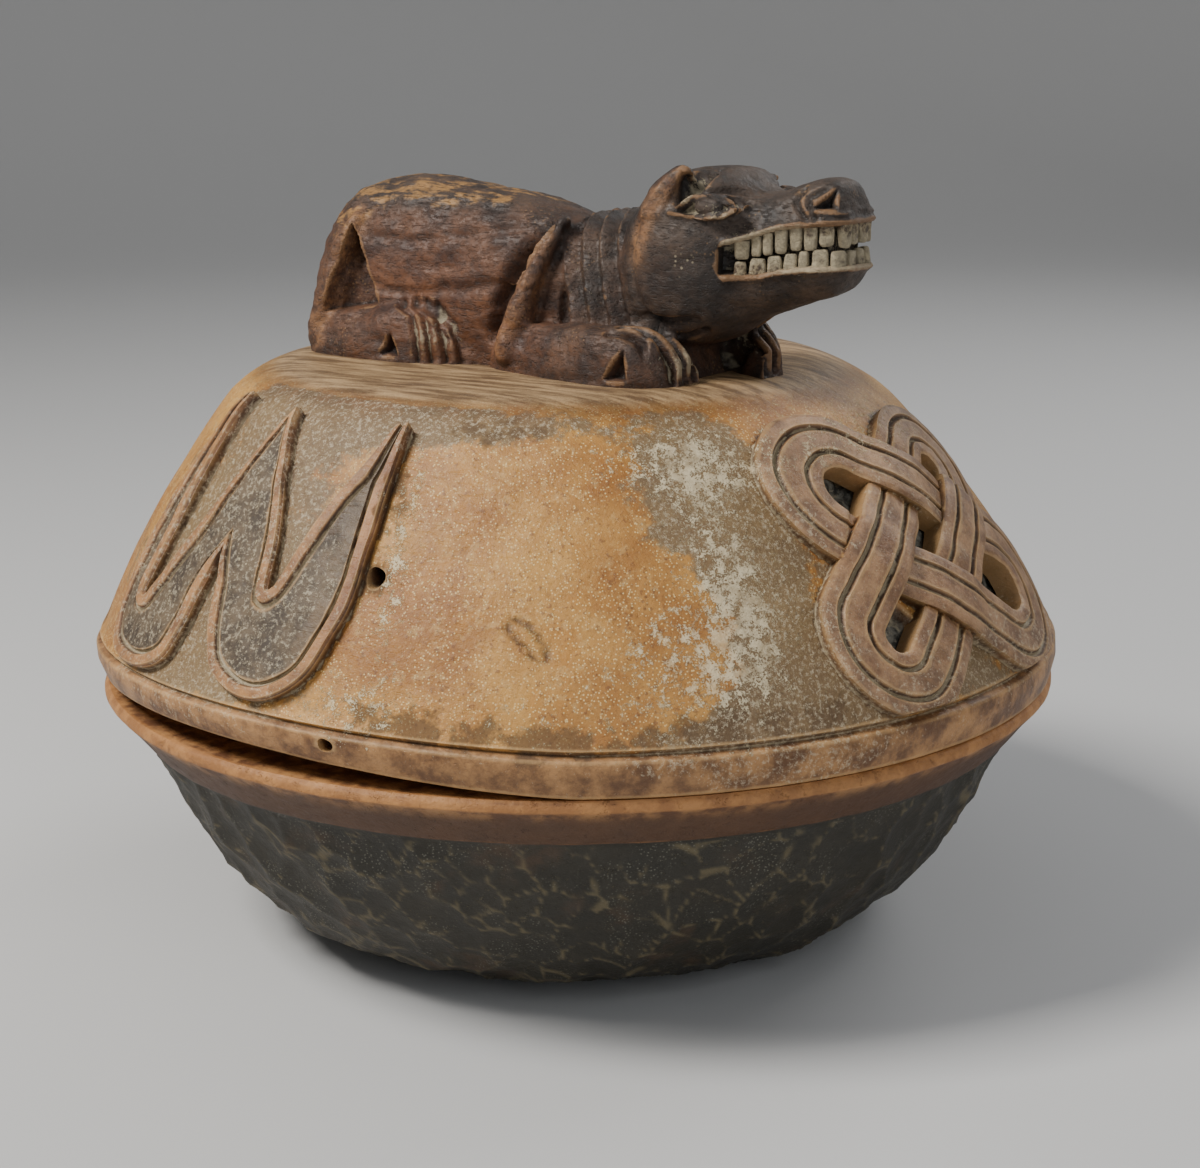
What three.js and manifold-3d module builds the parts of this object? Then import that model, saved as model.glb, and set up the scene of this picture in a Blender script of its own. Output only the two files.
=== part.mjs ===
// A carved wooden divination box: a round bowl, a domed lid that lifts off it,
// and a crouching toothed animal carved on top of the lid.
//
// Millimetres, +Z up. The origin is the centre of the bowl's flat foot.
// +X runs along the animal towards its head.

import * as THREE from 'three';
import { mergeVertices } from 'three/addons/utils/BufferGeometryUtils.js';
import Module from 'manifold-3d';

const wasm = await Module();
wasm.setup();

// Fineness of the turned shapes
const turnFacets = 60;
const wallSteps = 8;
const bellySteps = 7;
const shoulderSteps = 3;

// The seam between bowl and lid
const restGap = 0.3;
const lipHeight = 6;
const lipThickness = 5;
const lipClearance = 2;

// The bowl
const bowlHeight = 98;
const footRadius = 70;
const bellyReach = 65;
const bellyRadius = 150;
const bellyHeight = 46;
const bowlWall = 15;
const bandBottomRadius = 165;
const bandBottomHeight = 78;
const bandStep = 1.8;
const bandTopRadius = 175.7;
const bandTopDrop = 7.5;
const ridgeRadius = 179.2;
const ridgeDrop = 3;
const bowlRimRadius = 177.7;

// The lid, with heights measured from its own rim
const lidRimRadius = 178.7;
const lidBandRadius = 180.8;
const lidBandHeight = 13;
const grooveRadius = 178;
const grooveHeight = 14.4;
const wallFootRadius = 179.2;
const wallFootHeight = 16;
const wallBulgeRadius = 158;
const wallBulgeHeight = 61.5;
const shoulderRadius = 124;
const shoulderHeight = 102;
const shoulderBulgeRadius = 112;
const plateauRadius = 92;
const lidHeight = 114;
const lidWall = 15;

// The lid is hand-carved: its top leans, its shoulder falls lower on one side, and its rim
// has warped up at another
const leanPerHeight = 0.055;
const leanToward = 213;
const shoulderDrop = 5;
const shoulderDropAngle = 33;
const shoulderDropFrom = 85;
const shoulderDropTo = 125;
const warpLift = 8;
const warpAngle = -102;
const warpHalfAngle = 45;
const warpFade = 60;
const warpFullness = 1.3;

// The interlaced knot: two long loops of one three-ridged band, laid across each other.
// "Up" is measured along the wall from its foot, "across" along the wall sideways.
const knotAngle = -5;
const knotUp = 55;
const knotBandWidth = 22;
const knotRise = 5;
const knotGroove = 2;
const knotRoot = 6;
const knotWeave = 1.7;
const knotEdge = 1.5;
const knotEndSteps = 8;
const knotCrossingGrip = 4;
const knotLoops = [
  { tilt: -40, half: 20, upper: 34, lower: 43 },
  { tilt: -143, half: 16, upper: 36, lower: 51 },
];
const pocketDepth = 5;
const pocketRadius = 17;
const pocketSides = 8;

// The zigzag: one stroke with a border along each edge, on each side of the animal's tail.
// Each station is a line across the stroke, from its outer to its inner edge. It gives the
// degrees from the middle of the panel and the millimetres up the wall.
const zigzagAngle = 104.5;
const zigzagRise = 4;
const zigzagGroove = 1.6;
const zigzagRoot = 4;
const zigzagBorder = 5.5;
const zigzagGrooveWidth = 1.2;
const zigzagEdge = 1;
const zigzagMostBorder = 0.48;
const zigzagStations = [
  { outer: [-17, 108], inner: [-15, 110] },
  { outer: [-18.5, 88], inner: [-14.4, 90] },
  { outer: [-19.8, 64], inner: [-13.6, 62] },
  { outer: [-20.2, 36], inner: [-13.9, 36] },
  { outer: [-19, 17], inner: [-14, 30] },
  { outer: [-16, 5.5], inner: [-13.9, 29] },
  { outer: [-11.5, 2], inner: [-13.6, 28.6] },
  { outer: [-7, 3.5], inner: [-13.2, 29] },
  { outer: [-3.8, 10], inner: [-12.9, 30] },
  { outer: [-2, 25], inner: [-12.2, 33] },
  { outer: [-1.2, 41], inner: [-7.9, 58] },
  { outer: [0, 54], inner: [0.8, 109] },
  { outer: [1.3, 40], inner: [8, 69] },
  { outer: [2.6, 25], inner: [9.6, 47] },
  { outer: [5, 12], inner: [9.8, 44.5] },
  { outer: [8.6, 5.3], inner: [10, 43.8] },
  { outer: [12.6, 4.2], inner: [10.3, 44] },
  { outer: [16.8, 11.5], inner: [10.6, 45] },
  { outer: [19.6, 25], inner: [11, 47] },
  { outer: [22, 45], inner: [12.6, 60] },
  { outer: [22.9, 66], inner: [15.2, 76] },
  { outer: [23.6, 88], inner: [19, 92] },
  { outer: [24.2, 107], inner: [22.2, 106] },
];

// Holes through the lid: angle, height and width
const lidHoles = [
  { angle: -80.6, height: 62.5, width: 6.5 },
  { angle: -83.3, height: 9, width: 5.5 },
  { angle: -123.4, height: 34, width: 3.2 },
];
const holeSides = 10;

// The animal, measured along from the middle of the plateau, up from the plateau,
// and sideways from its own middle line. Near and far are its right and its left side.
const figureOffset = -14;
const figureTurn = -4;
const archPoints = 12;
const headPoints = 18;
const boxiness = 2.6;
const trunkTuck = 0.16;
const trunk = [
  { x: -98, half: 24, top: 28 },
  { x: -95, half: 29, top: 45 },
  { x: -88, half: 32, top: 57 },
  { x: -78, half: 33.5, top: 63 },
  { x: -60, half: 34, top: 65.5 },
  { x: -33, half: 32.5, top: 63 },
  { x: -4, half: 31, top: 59 },
  { x: 20, half: 26, top: 54 },
];
const neckStart = 18;
const neckFoldWidth = 6;
const neckFolds = 4;
const neckHalf = 24;
const neckTop = 53;
const neckSlope = 0.12;
const neckFoldRise = 2.5;
const neckRake = 0.22;
const head = [
  { x: 46, half: 22, bottom: 15, top: 58 },
  { x: 52, half: 27.5, bottom: 11, top: 64 },
  { x: 60, half: 30, bottom: 10, top: 70 },
  { x: 71, half: 30.5, bottom: 11, top: 72.5 },
  { x: 82, half: 28, bottom: 15, top: 72.3 },
  { x: 90, half: 23.5, bottom: 20, top: 67 },
  { x: 97, half: 20, bottom: 23, top: 64.8 },
  { x: 107, half: 17.5, bottom: 26.5, top: 67.5 },
  { x: 117, half: 15.5, bottom: 29.5, top: 70 },
  { x: 124, half: 13, bottom: 33, top: 69 },
  { x: 128.5, half: 9, bottom: 39, top: 60 },
];
const mouthCornerX = 86;
const mouthCornerHeight = 42.6;
const mouthCornerGape = 9.8;
const mouthFrontHeight = 48;
const mouthFrontGape = 13.5;
const mouthDepth = 4;
const teethPerRow = 17;
const toothWidth = 4.6;
const toothThickness = 3;
const toothGap = 1;
const eye = { x: 82, side: 23, up: 61, long: 12, wide: 5, high: 4.5 };
const ear = { x: 70, side: 24, up: 65, long: 6, wide: 4, high: 9 };
const farEarLead = 7;
const farEarDrop = 5;
const nostril = { x: 123, up: 59, long: 9, high: 8, inset: 3 };
const recess = { topX: -75, topUp: 49, backX: -85, frontX: -61, bottomUp: 15, depth: 8 };
const hindFoot = [
  { x: -94, y: 23, half: 8, top: 12 },
  { x: -84, y: 27, half: 11, top: 16 },
  { x: -66, y: 28.5, half: 12, top: 19.5 },
  { x: -51, y: 26.5, half: 12.5, top: 20.5 },
  { x: -41, y: 23, half: 10.5, top: 16 },
  { x: -35, y: 20.5, half: 7, top: 9 },
];
const foreArm = [
  { x: -7, y: 23, half: 7, top: 12 },
  { x: 2, y: 25, half: 9.5, top: 16 },
  { x: 20, y: 28, half: 10.5, top: 17.5 },
  { x: 45, y: 31.5, half: 12, top: 19.5 },
  { x: 60, y: 30.5, half: 12.5, top: 20 },
  { x: 69, y: 27, half: 11, top: 16.5 },
  { x: 75.5, y: 23, half: 7, top: 9 },
];
const farPawLead = 13;
const farPawInset = 13;
const upperArm = {
  topX: 14, topUp: 54, topHalf: 3, elbowX: 2, elbowUp: 6, elbowHalf: 7.5, side: 28, thickness: 5.5,
};
const toeCuts = [-0.5, 0, 0.5];
const toeCutWidth = 1.6;
const toeCutDepth = 6;
const toeCutLength = 24;

const degrees = Math.PI / 180;

// Solid helpers

function solidFrom(vertices, triangles) {
  let volume = 0;
  for (const [a, b, c] of triangles) {
    const p = vertices[a];
    const q = vertices[b];
    const r = vertices[c];
    volume += p[0] * (q[1] * r[2] - q[2] * r[1]);
    volume += p[1] * (q[2] * r[0] - q[0] * r[2]);
    volume += p[2] * (q[0] * r[1] - q[1] * r[0]);
  }
  const ordered = volume < 0 ? triangles.map(([a, b, c]) => [a, c, b]) : triangles;
  const mesh = new wasm.Mesh({
    numProp: 3,
    vertProperties: new Float32Array(vertices.flat()),
    triVerts: new Uint32Array(ordered.flat()),
  });
  return new wasm.Manifold(mesh);
}

function solidFromGeometry(geometry) {
  const bare = geometry.clone();
  bare.deleteAttribute('normal');
  bare.deleteAttribute('uv');
  const merged = mergeVertices(bare, 1e-4);
  const place = merged.attributes.position;
  const vertices = [];
  for (let i = 0; i < place.count; i += 1) {
    vertices.push([place.getX(i), place.getY(i), place.getZ(i)]);
  }
  const triangles = [];
  for (let i = 0; i < merged.index.count; i += 3) {
    const [a, b, c] = [0, 1, 2].map((k) => merged.index.getX(i + k));
    if (a !== b && b !== c && c !== a) triangles.push([a, b, c]);
  }
  return solidFrom(vertices, triangles);
}

// Joins rings of points into one closed skin, with flat ends or as an endless band.
function skin(rings, endless = false) {
  const count = rings[0].length;
  const vertices = rings.flat();
  const triangles = [];
  const spans = endless ? rings.length : rings.length - 1;
  for (let i = 0; i < spans; i += 1) {
    const next = (i + 1) % rings.length;
    for (let j = 0; j < count; j += 1) {
      const k = (j + 1) % count;
      triangles.push([i * count + j, i * count + k, next * count + k]);
      triangles.push([i * count + j, next * count + k, next * count + j]);
    }
  }
  if (!endless) {
    for (const [ring, flip] of [[0, true], [rings.length - 1, false]]) {
      const middle = [0, 1, 2].map((axis) => rings[ring].reduce((sum, p) => sum + p[axis], 0) / count);
      vertices.push(middle);
      for (let j = 0; j < count; j += 1) {
        const a = ring * count + j;
        const b = ring * count + ((j + 1) % count);
        triangles.push(flip ? [b, a, vertices.length - 1] : [a, b, vertices.length - 1]);
      }
    }
  }
  return solidFrom(vertices, triangles);
}

function joined(solids) {
  return solids.reduce((sum, solid) => sum.add(solid));
}

function cut(solid, tools) {
  return tools.reduce((rest, tool) => rest.subtract(tool), solid);
}

function revolve(profile) {
  const points = profile.map(([radius, height]) => new THREE.Vector2(radius, height));
  const geometry = new THREE.LatheGeometry(points, turnFacets);
  geometry.rotateX(Math.PI / 2);
  return solidFromGeometry(geometry);
}

// Points along a profile curve, moved inwards by a wall thickness.
function along(curve, steps, inset = 0) {
  const points = [];
  for (let i = 0; i <= steps; i += 1) {
    const spot = curve.getPoint(i / steps);
    const heading = curve.getTangent(i / steps);
    points.push([spot.x - heading.y * inset, spot.y + heading.x * inset]);
  }
  return points;
}

function vector(radius, height) {
  return new THREE.Vector2(radius, height);
}

// The bowl: turned body with a raised band, a flat rim and a low inner lip

function makeBowl() {
  const body = new THREE.CubicBezierCurve(
    vector(footRadius, 0),
    vector(footRadius + bellyReach, 0),
    vector(bellyRadius, bellyHeight),
    vector(bandBottomRadius, bandBottomHeight),
  );
  const lipOuter = lidRimRadius - lidWall - lipClearance;
  const lipInner = lipOuter - lipThickness;
  const profile = [
    [0, 0],
    ...along(body, bellySteps),
    [bandBottomRadius + bandStep, bandBottomHeight + bandStep],
    [bandTopRadius, bowlHeight - bandTopDrop],
    [ridgeRadius, bowlHeight - ridgeDrop],
    [bowlRimRadius, bowlHeight],
    [lipOuter, bowlHeight],
    [lipOuter, bowlHeight + lipHeight],
    [lipInner, bowlHeight + lipHeight],
    ...along(body, bellySteps, bowlWall).reverse(),
    [0, bowlWall],
  ];
  return revolve(profile);
}

// The lid: turned dome, relief bands laid on its wall, and the holes

const wallCurve = new THREE.QuadraticBezierCurve(
  vector(wallFootRadius, wallFootHeight),
  vector(wallBulgeRadius, wallBulgeHeight),
  vector(shoulderRadius, shoulderHeight),
);
const shoulderCurve = new THREE.QuadraticBezierCurve(
  vector(shoulderRadius, shoulderHeight),
  vector(shoulderBulgeRadius, lidHeight),
  vector(plateauRadius, lidHeight),
);
const domeCurve = new THREE.CurvePath();
domeCurve.add(wallCurve);
domeCurve.add(shoulderCurve);
const domeLength = domeCurve.getLength();

function domeRadius(up) {
  return domeCurve.getPointAt(Math.min(Math.max(up / domeLength, 0), 1)).x;
}

// A point on the dome: millimetres across and up from the middle of a panel, and its height
// above the surface.
function onDome(panelAngle, across, up, height) {
  const share = Math.min(Math.max(up / domeLength, 0), 1);
  const spot = domeCurve.getPointAt(share);
  const heading = domeCurve.getTangentAt(share);
  const angle = panelAngle * degrees + across / spot.x;
  const radius = spot.x + height * heading.y;
  return [radius * Math.cos(angle), radius * Math.sin(angle), spot.y - height * heading.x];
}

// An endless band laid on the dome along a path, mitred at each corner. Its section is given
// as shares of the half width and heights above the dome.
function domeBand(panelAngle, path, section) {
  const rings = path.map((point, i) => {
    const before = path[(i + path.length - 1) % path.length];
    const after = path[(i + 1) % path.length];
    const arriving = heading(before, point);
    const leaving = heading(point, after);
    const side = heading({ across: 0, up: 0 }, {
      across: -arriving.up - leaving.up,
      up: arriving.across + leaving.across,
    });
    const mitre = 1 / (side.up * arriving.across - side.across * arriving.up);
    return section.map(([share, height]) => {
      const offset = share * point.half * mitre;
      const rise = height > 0 ? height + point.rise : height;
      return onDome(panelAngle, point.across + offset * side.across, point.up + offset * side.up, rise);
    });
  });
  return skin(rings, true);
}

function heading(from, to) {
  const across = to.across - from.across;
  const up = to.up - from.up;
  const length = Math.hypot(across, up);
  return { across: across / length, up: up / length };
}

// Half of a band's section, from its root at the side to its middle, and the same mirrored.
function bothSides(half) {
  const otherHalf = half.map(([share, height]) => [-share, height]).reverse();
  return [...half, ...otherHalf];
}

// The knot's band has three ridges, with a groove between each two.
const knotSection = bothSides([
  [-1, -knotRoot],
  [-1, knotRise - knotEdge],
  [-0.88, knotRise],
  [-0.52, knotRise],
  [-0.42, knotRise - knotGroove],
  [-0.32, knotRise],
]);

// One loop of the knot. It passes over and under the other loop's sides by turns.
function knotLoopPath(loop, other) {
  const { half } = loop;
  const between = (other.tilt - loop.tilt) * degrees;
  const outline = [];
  for (const end of [1, -1]) {
    const reach = end > 0 ? loop.lower : loop.upper;
    for (let i = 0; i <= knotEndSteps; i += 1) {
      const turn = Math.PI * (0.5 - i / knotEndSteps);
      outline.push([end * (reach + half * Math.cos(turn)), end * half * Math.sin(turn), 0]);
    }
    const beside = -end * half;
    const crossings = [other.half, -other.half]
      .map((side) => (beside * Math.cos(between) - side) / Math.sin(between))
      .sort((a, b) => end * (b - a));
    for (const crossing of crossings) {
      const over = -Math.sign(crossing * beside);
      for (const step of [knotCrossingGrip, -knotCrossingGrip]) {
        outline.push([crossing + end * step, beside, over * knotWeave]);
      }
    }
  }
  const lean = loop.tilt * degrees;
  return outline.map(([lengthwise, beside, rise]) => ({
    across: lengthwise * Math.cos(lean) - beside * Math.sin(lean),
    up: knotUp + lengthwise * Math.sin(lean) + beside * Math.cos(lean),
    half: knotBandWidth / 2,
    rise,
  }));
}

// A hollow sunk into the dome between the bands.
function pocket(across, up) {
  const rings = [-pocketDepth, knotRise].map((height) => {
    const ring = [];
    for (let i = 0; i < pocketSides; i += 1) {
      const turn = (2 * Math.PI * i) / pocketSides;
      const spreadAcross = across + pocketRadius * Math.cos(turn);
      const spreadUp = up + pocketRadius * Math.sin(turn);
      ring.push(onDome(knotAngle, spreadAcross, spreadUp, height));
    }
    return ring;
  });
  return skin(rings);
}

function knotPockets() {
  const pockets = [pocket(0, knotUp)];
  for (const loop of knotLoops) {
    const lean = loop.tilt * degrees;
    for (const reach of [loop.lower, -loop.upper]) {
      pockets.push(pocket(reach * Math.cos(lean), knotUp + reach * Math.sin(lean)));
    }
  }
  return pockets;
}

// The zigzag's stroke follows its two edges, so its middle widens at the bends and runs out
// to a point at the tops.
function zigzag(hand) {
  const half = [
    [0, -zigzagRoot],
    [0, zigzagRise - zigzagEdge],
    [zigzagEdge, zigzagRise],
    [zigzagBorder - zigzagEdge, zigzagRise],
    [zigzagBorder, zigzagRise - zigzagGroove],
    [zigzagBorder + zigzagGrooveWidth, zigzagRise - zigzagGroove / 4],
  ];
  const rings = zigzagStations.map(({ outer, inner }) => {
    const [start, end] = [outer, inner].map(([turn, up]) => vector(turn * degrees * domeRadius(up), up));
    const width = start.distanceTo(end);
    const deepest = half[half.length - 1][0];
    const squeeze = Math.min(1, (zigzagMostBorder * width) / deepest);
    const section = half.map(([inset, height]) => [(inset * squeeze) / width, height]);
    const otherHalf = section.map(([share, height]) => [1 - share, height]).reverse();
    return [...section, ...otherHalf].map(([share, height]) => {
      const turn = outer[0] + (inner[0] - outer[0]) * share;
      const up = outer[1] + (inner[1] - outer[1]) * share;
      return onDome(-hand * zigzagAngle, hand * turn * degrees * domeRadius(up), up, height);
    });
  });
  return skin(rings);
}

function lidHole({ angle, height, width }) {
  const drill = new THREE.CylinderGeometry(width / 2, width / 2, lidBandRadius, holeSides);
  drill.rotateZ(Math.PI / 2);
  drill.translate(lidBandRadius, 0, height);
  drill.rotateZ(angle * degrees);
  return solidFromGeometry(drill);
}

function makeLid() {
  const profile = [
    [lidRimRadius, 0],
    [lidBandRadius, lidBandHeight * 0.6],
    [lidBandRadius, lidBandHeight],
    [grooveRadius, grooveHeight],
    ...along(wallCurve, wallSteps),
    ...along(shoulderCurve, shoulderSteps).slice(1),
    [0, lidHeight],
    [0, lidHeight - lidWall],
    ...along(shoulderCurve, shoulderSteps, lidWall).reverse(),
    ...along(wallCurve, wallSteps, lidWall).reverse().slice(1),
    [lidRimRadius - lidWall, 0],
    [lidRimRadius, 0],
  ];
  const dome = cut(revolve(profile), knotPockets());
  const reliefs = [
    ...knotLoops.map((loop, i) => {
      const path = knotLoopPath(loop, knotLoops[1 - i]);
      return domeBand(knotAngle, path, knotSection);
    }),
    zigzag(1),
    zigzag(-1),
  ];
  return cut(joined([dome, ...reliefs]), lidHoles.map(lidHole));
}

// Leans the turned lid over, lowers its shoulder on one side and lifts its rim where it
// has warped.
function asCarved([x, y, z]) {
  const angle = Math.atan2(y, x);
  const away = (((angle / degrees - warpAngle + 180) % 360) + 360) % 360 - 180;
  const near = Math.max(1 - (away / warpHalfAngle) ** 2, 0) ** warpFullness;
  const low = Math.max(1 - Math.max(z, 0) / warpFade, 0) ** 2;
  const side = Math.max(Math.cos(angle - shoulderDropAngle * degrees), 0);
  const out = THREE.MathUtils.smoothstep(Math.hypot(x, y), shoulderDropFrom, shoulderDropTo);
  const drop = shoulderDrop * side * out * (Math.max(z, 0) / lidHeight) ** 3;
  return [
    x + leanPerHeight * z * Math.cos(leanToward * degrees),
    y + leanPerHeight * z * Math.sin(leanToward * degrees),
    z + warpLift * near * low - drop,
  ];
}

// The animal: lofted trunk, folded neck, head, limbs, then the mouth and teeth

// A ring standing on the plateau like an arch, flat underneath. A rake carries its foot
// forwards, and a tuck draws its foot in.
function archRing({ x, y = 0, half, top }, { rake = 0, tuck = 0 } = {}) {
  const ring = [];
  for (let i = 0; i <= archPoints; i += 1) {
    const turn = (Math.PI * i) / archPoints;
    const across = Math.sign(Math.cos(turn)) * Math.abs(Math.cos(turn)) ** (2 / boxiness);
    const rise = Math.sin(turn) ** (2 / boxiness);
    const width = half * (1 - tuck * (1 - rise) ** 2);
    ring.push([x + rake * top * (1 - rise), y + width * across, top * rise]);
  }
  return ring;
}

// A closed rounded ring across the head.
function headRing({ x, half, bottom, top }) {
  const ring = [];
  const middle = (top + bottom) / 2;
  const high = (top - bottom) / 2;
  for (let i = 0; i < headPoints; i += 1) {
    const turn = (2 * Math.PI * i) / headPoints;
    const across = Math.sign(Math.cos(turn)) * Math.abs(Math.cos(turn)) ** (2 / boxiness);
    const up = Math.sign(Math.sin(turn)) * Math.abs(Math.sin(turn)) ** (2 / boxiness);
    ring.push([x, half * across, middle + high * up]);
  }
  return ring;
}

function makeNeck() {
  const start = neckStart - neckFoldWidth;
  const end = neckStart + neckFolds * neckFoldWidth;
  const neckRing = (x, grow, rake) => {
    const top = neckTop + neckSlope * (x - neckStart) + grow;
    return archRing({ x, half: neckHalf + grow, top }, { rake });
  };
  const rings = [neckRing(start, 0, neckRake)];
  for (let i = 0; i < neckFolds; i += 1) {
    for (const [share, rise] of [[0, 0], [0.25, 1], [0.75, 1]]) {
      rings.push(neckRing(neckStart + (i + share) * neckFoldWidth, rise * neckFoldRise, neckRake));
    }
  }
  rings.push(neckRing(end, 0, neckRake));
  rings.push(neckRing(head[1].x, 0, 0));
  return skin(rings);
}

// A block between two outlines in the side view, spanning sideways from one plane to another.
function sideBlock(outline, from, to) {
  return skin([from, to].map((y) => outline.map(([x, z]) => [x, y, z])));
}

function pebble({ x, side, up, long, wide, high }, hand) {
  const ball = new THREE.SphereGeometry(1, 10, 8);
  ball.scale(long, wide, high);
  ball.translate(x, hand * side, up);
  return solidFromGeometry(ball);
}

function mouthLine(x) {
  const share = (x - mouthCornerX) / (head[head.length - 1].x - mouthCornerX);
  return {
    middle: mouthCornerHeight + share * (mouthFrontHeight - mouthCornerHeight),
    gape: mouthCornerGape + share * (mouthFrontGape - mouthCornerGape),
  };
}

// The groove round the muzzle that the teeth stand in.
function mouthGroove() {
  const front = head[head.length - 1].x + mouthDepth;
  const reach = head[1].half * 2;
  const outline = [mouthCornerX, front].flatMap((x) => {
    const { middle, gape } = mouthLine(x);
    return [[x, middle - gape / 2], [x, middle + gape / 2]];
  });
  const [cornerLow, cornerHigh, frontLow, frontHigh] = outline;
  const slab = sideBlock([cornerLow, frontLow, frontHigh, cornerHigh], -reach, reach);
  const core = skin(head.map((station, i) => headRing({
    ...station,
    x: station.x - (i > 0 ? mouthDepth : 0),
    half: station.half - mouthDepth / 2,
  })));
  return slab.subtract(core);
}

// Teeth in two rows round the muzzle, standing on the edges of the groove.
function makeTeeth() {
  const stations = head.filter((station) => station.x > mouthCornerX);
  const side = stations.map(({ x, half }) => vector(x - mouthDepth / 2, half - mouthDepth / 2));
  const otherSide = side.map((spot) => vector(spot.x, -spot.y)).reverse();
  const row = new THREE.SplineCurve([...side, ...otherSide]);
  const teeth = [];
  for (let i = 0; i < teethPerRow; i += 1) {
    const share = (i + 0.5) / teethPerRow;
    const spot = row.getPointAt(share);
    const line = row.getTangentAt(share);
    const { middle, gape } = mouthLine(spot.x);
    for (const jaw of [1, -1]) {
      const height = gape / 2 + toothGap;
      const block = new THREE.BoxGeometry(toothWidth, toothThickness, height - toothGap / 2);
      block.rotateZ(Math.atan2(line.y, line.x));
      block.translate(spot.x, spot.y, middle + jaw * (height / 2 + toothGap / 4));
      teeth.push(solidFromGeometry(block));
    }
  }
  return teeth;
}

function makeHead() {
  const farEar = { ...ear, x: ear.x + farEarLead, up: ear.up - farEarDrop };
  const skull = joined([
    skin(head.map(headRing)),
    pebble(eye, 1),
    pebble(eye, -1),
    pebble(farEar, 1),
    pebble(ear, -1),
  ]);
  const nostrils = [1, -1].map((hand) => {
    const { x, up, long, high, inset } = nostril;
    const outer = head[head.length - 3].half;
    const outline = [[x - long / 2, up], [x + long / 2, up], [x + long / 4, up + high]];
    return sideBlock(outline, hand * (outer - inset), hand * outer * 2);
  });
  return joined([cut(skull, [mouthGroove(), ...nostrils]), ...makeTeeth()]);
}

// A foot or forearm lying on the plateau, with its toes cut in. It may reach further forwards
// and inwards than its stations say.
function makeLimb(stations, hand, lead = 0, inset = 0) {
  const moved = stations.map((station, i) => {
    const share = i / (stations.length - 1);
    return { ...station, x: station.x + lead * share, y: hand * (station.y - inset * share) };
  });
  const tip = moved[moved.length - 1];
  const knuckle = moved[moved.length - 2];
  const cuts = toeCuts.map((share) => {
    const groove = new THREE.BoxGeometry(toeCutLength, toeCutWidth, toeCutDepth * 2);
    groove.rotateY(Math.atan2(knuckle.top - tip.top, tip.x - knuckle.x));
    const y = (tip.y + knuckle.y) / 2 + share * knuckle.half;
    groove.translate((tip.x + knuckle.x) / 2, y, (tip.top + knuckle.top) / 2);
    return solidFromGeometry(groove);
  });
  return cut(skin(moved.map((station) => archRing(station))), cuts);
}

function makeUpperArm(hand) {
  const { topX, topUp, topHalf, elbowX, elbowUp, elbowHalf, side, thickness } = upperArm;
  const outline = [
    [topX - topHalf, topUp],
    [topX + topHalf, topUp],
    [elbowX + elbowHalf, elbowUp],
    [elbowX - elbowHalf, elbowUp],
  ];
  return sideBlock(outline, hand * (side - thickness), hand * (side + thickness));
}

function makeFigure() {
  const hands = [1, -1];
  const recesses = hands.map((hand) => {
    const { topX, topUp, backX, frontX, bottomUp, depth } = recess;
    const outline = [[backX, bottomUp], [frontX, bottomUp], [topX, topUp]];
    const widest = Math.max(...trunk.map(({ half }) => half));
    return sideBlock(outline, hand * (widest - depth), hand * (widest + depth));
  });
  return joined([
    cut(skin(trunk.map((station) => archRing(station, { tuck: trunkTuck }))), recesses),
    makeNeck(),
    makeHead(),
    makeLimb(hindFoot, 1),
    makeLimb(hindFoot, -1),
    makeLimb(foreArm, 1, farPawLead, farPawInset),
    makeLimb(foreArm, -1),
    ...hands.map(makeUpperArm),
  ]);
}

// The scene

function meshOf(name, solid, look, reshape = (point) => point) {
  const { vertProperties, triVerts } = solid.getMesh();
  const places = [];
  for (let i = 0; i < vertProperties.length; i += 3) {
    places.push(...reshape([...vertProperties.slice(i, i + 3)]));
  }
  const geometry = new THREE.BufferGeometry();
  geometry.setAttribute('position', new THREE.Float32BufferAttribute(places, 3));
  geometry.setIndex([...triVerts]);
  geometry.computeVertexNormals();
  const mesh = new THREE.Mesh(geometry, new THREE.MeshStandardMaterial(look));
  mesh.name = name;
  return mesh;
}

const box = new THREE.Group();
box.add(meshOf('bowl', makeBowl(), { color: 0x3a3024, roughness: 0.8, metalness: 0 }));

const lid = new THREE.Group();
lid.position.z = bowlHeight + restGap;
lid.add(meshOf('lid', makeLid(), { color: 0xb58a5a, roughness: 0.6, metalness: 0 }, asCarved));
box.add(lid);

const figure = new THREE.Group();
figure.position.set(0, figureOffset, lidHeight);
figure.rotation.z = figureTurn * degrees;
figure.add(meshOf('lid_figure', makeFigure(), { color: 0x3b2a20, roughness: 0.5, metalness: 0 }));
lid.add(figure);

export default box;
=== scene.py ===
# %% [markdown]
# # A carved wooden divination box
#
# The real object is carved from two blocks of wood: a round bowl, blackened with use, and a
# honey brown lid like a flattened dome, which lifts off. A crouching animal with a full set
# of teeth is carved on top of the lid, from the same block. An interlaced knot stands proud
# of the lid's wall under its head, and a zigzag on the wall beside each of its flanks.
#
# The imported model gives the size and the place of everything, and has the animal as a piece
# of its own. This script dresses each of the three pieces with a finer carving, worked out in
# millimetres, and paints them with node materials.

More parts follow.
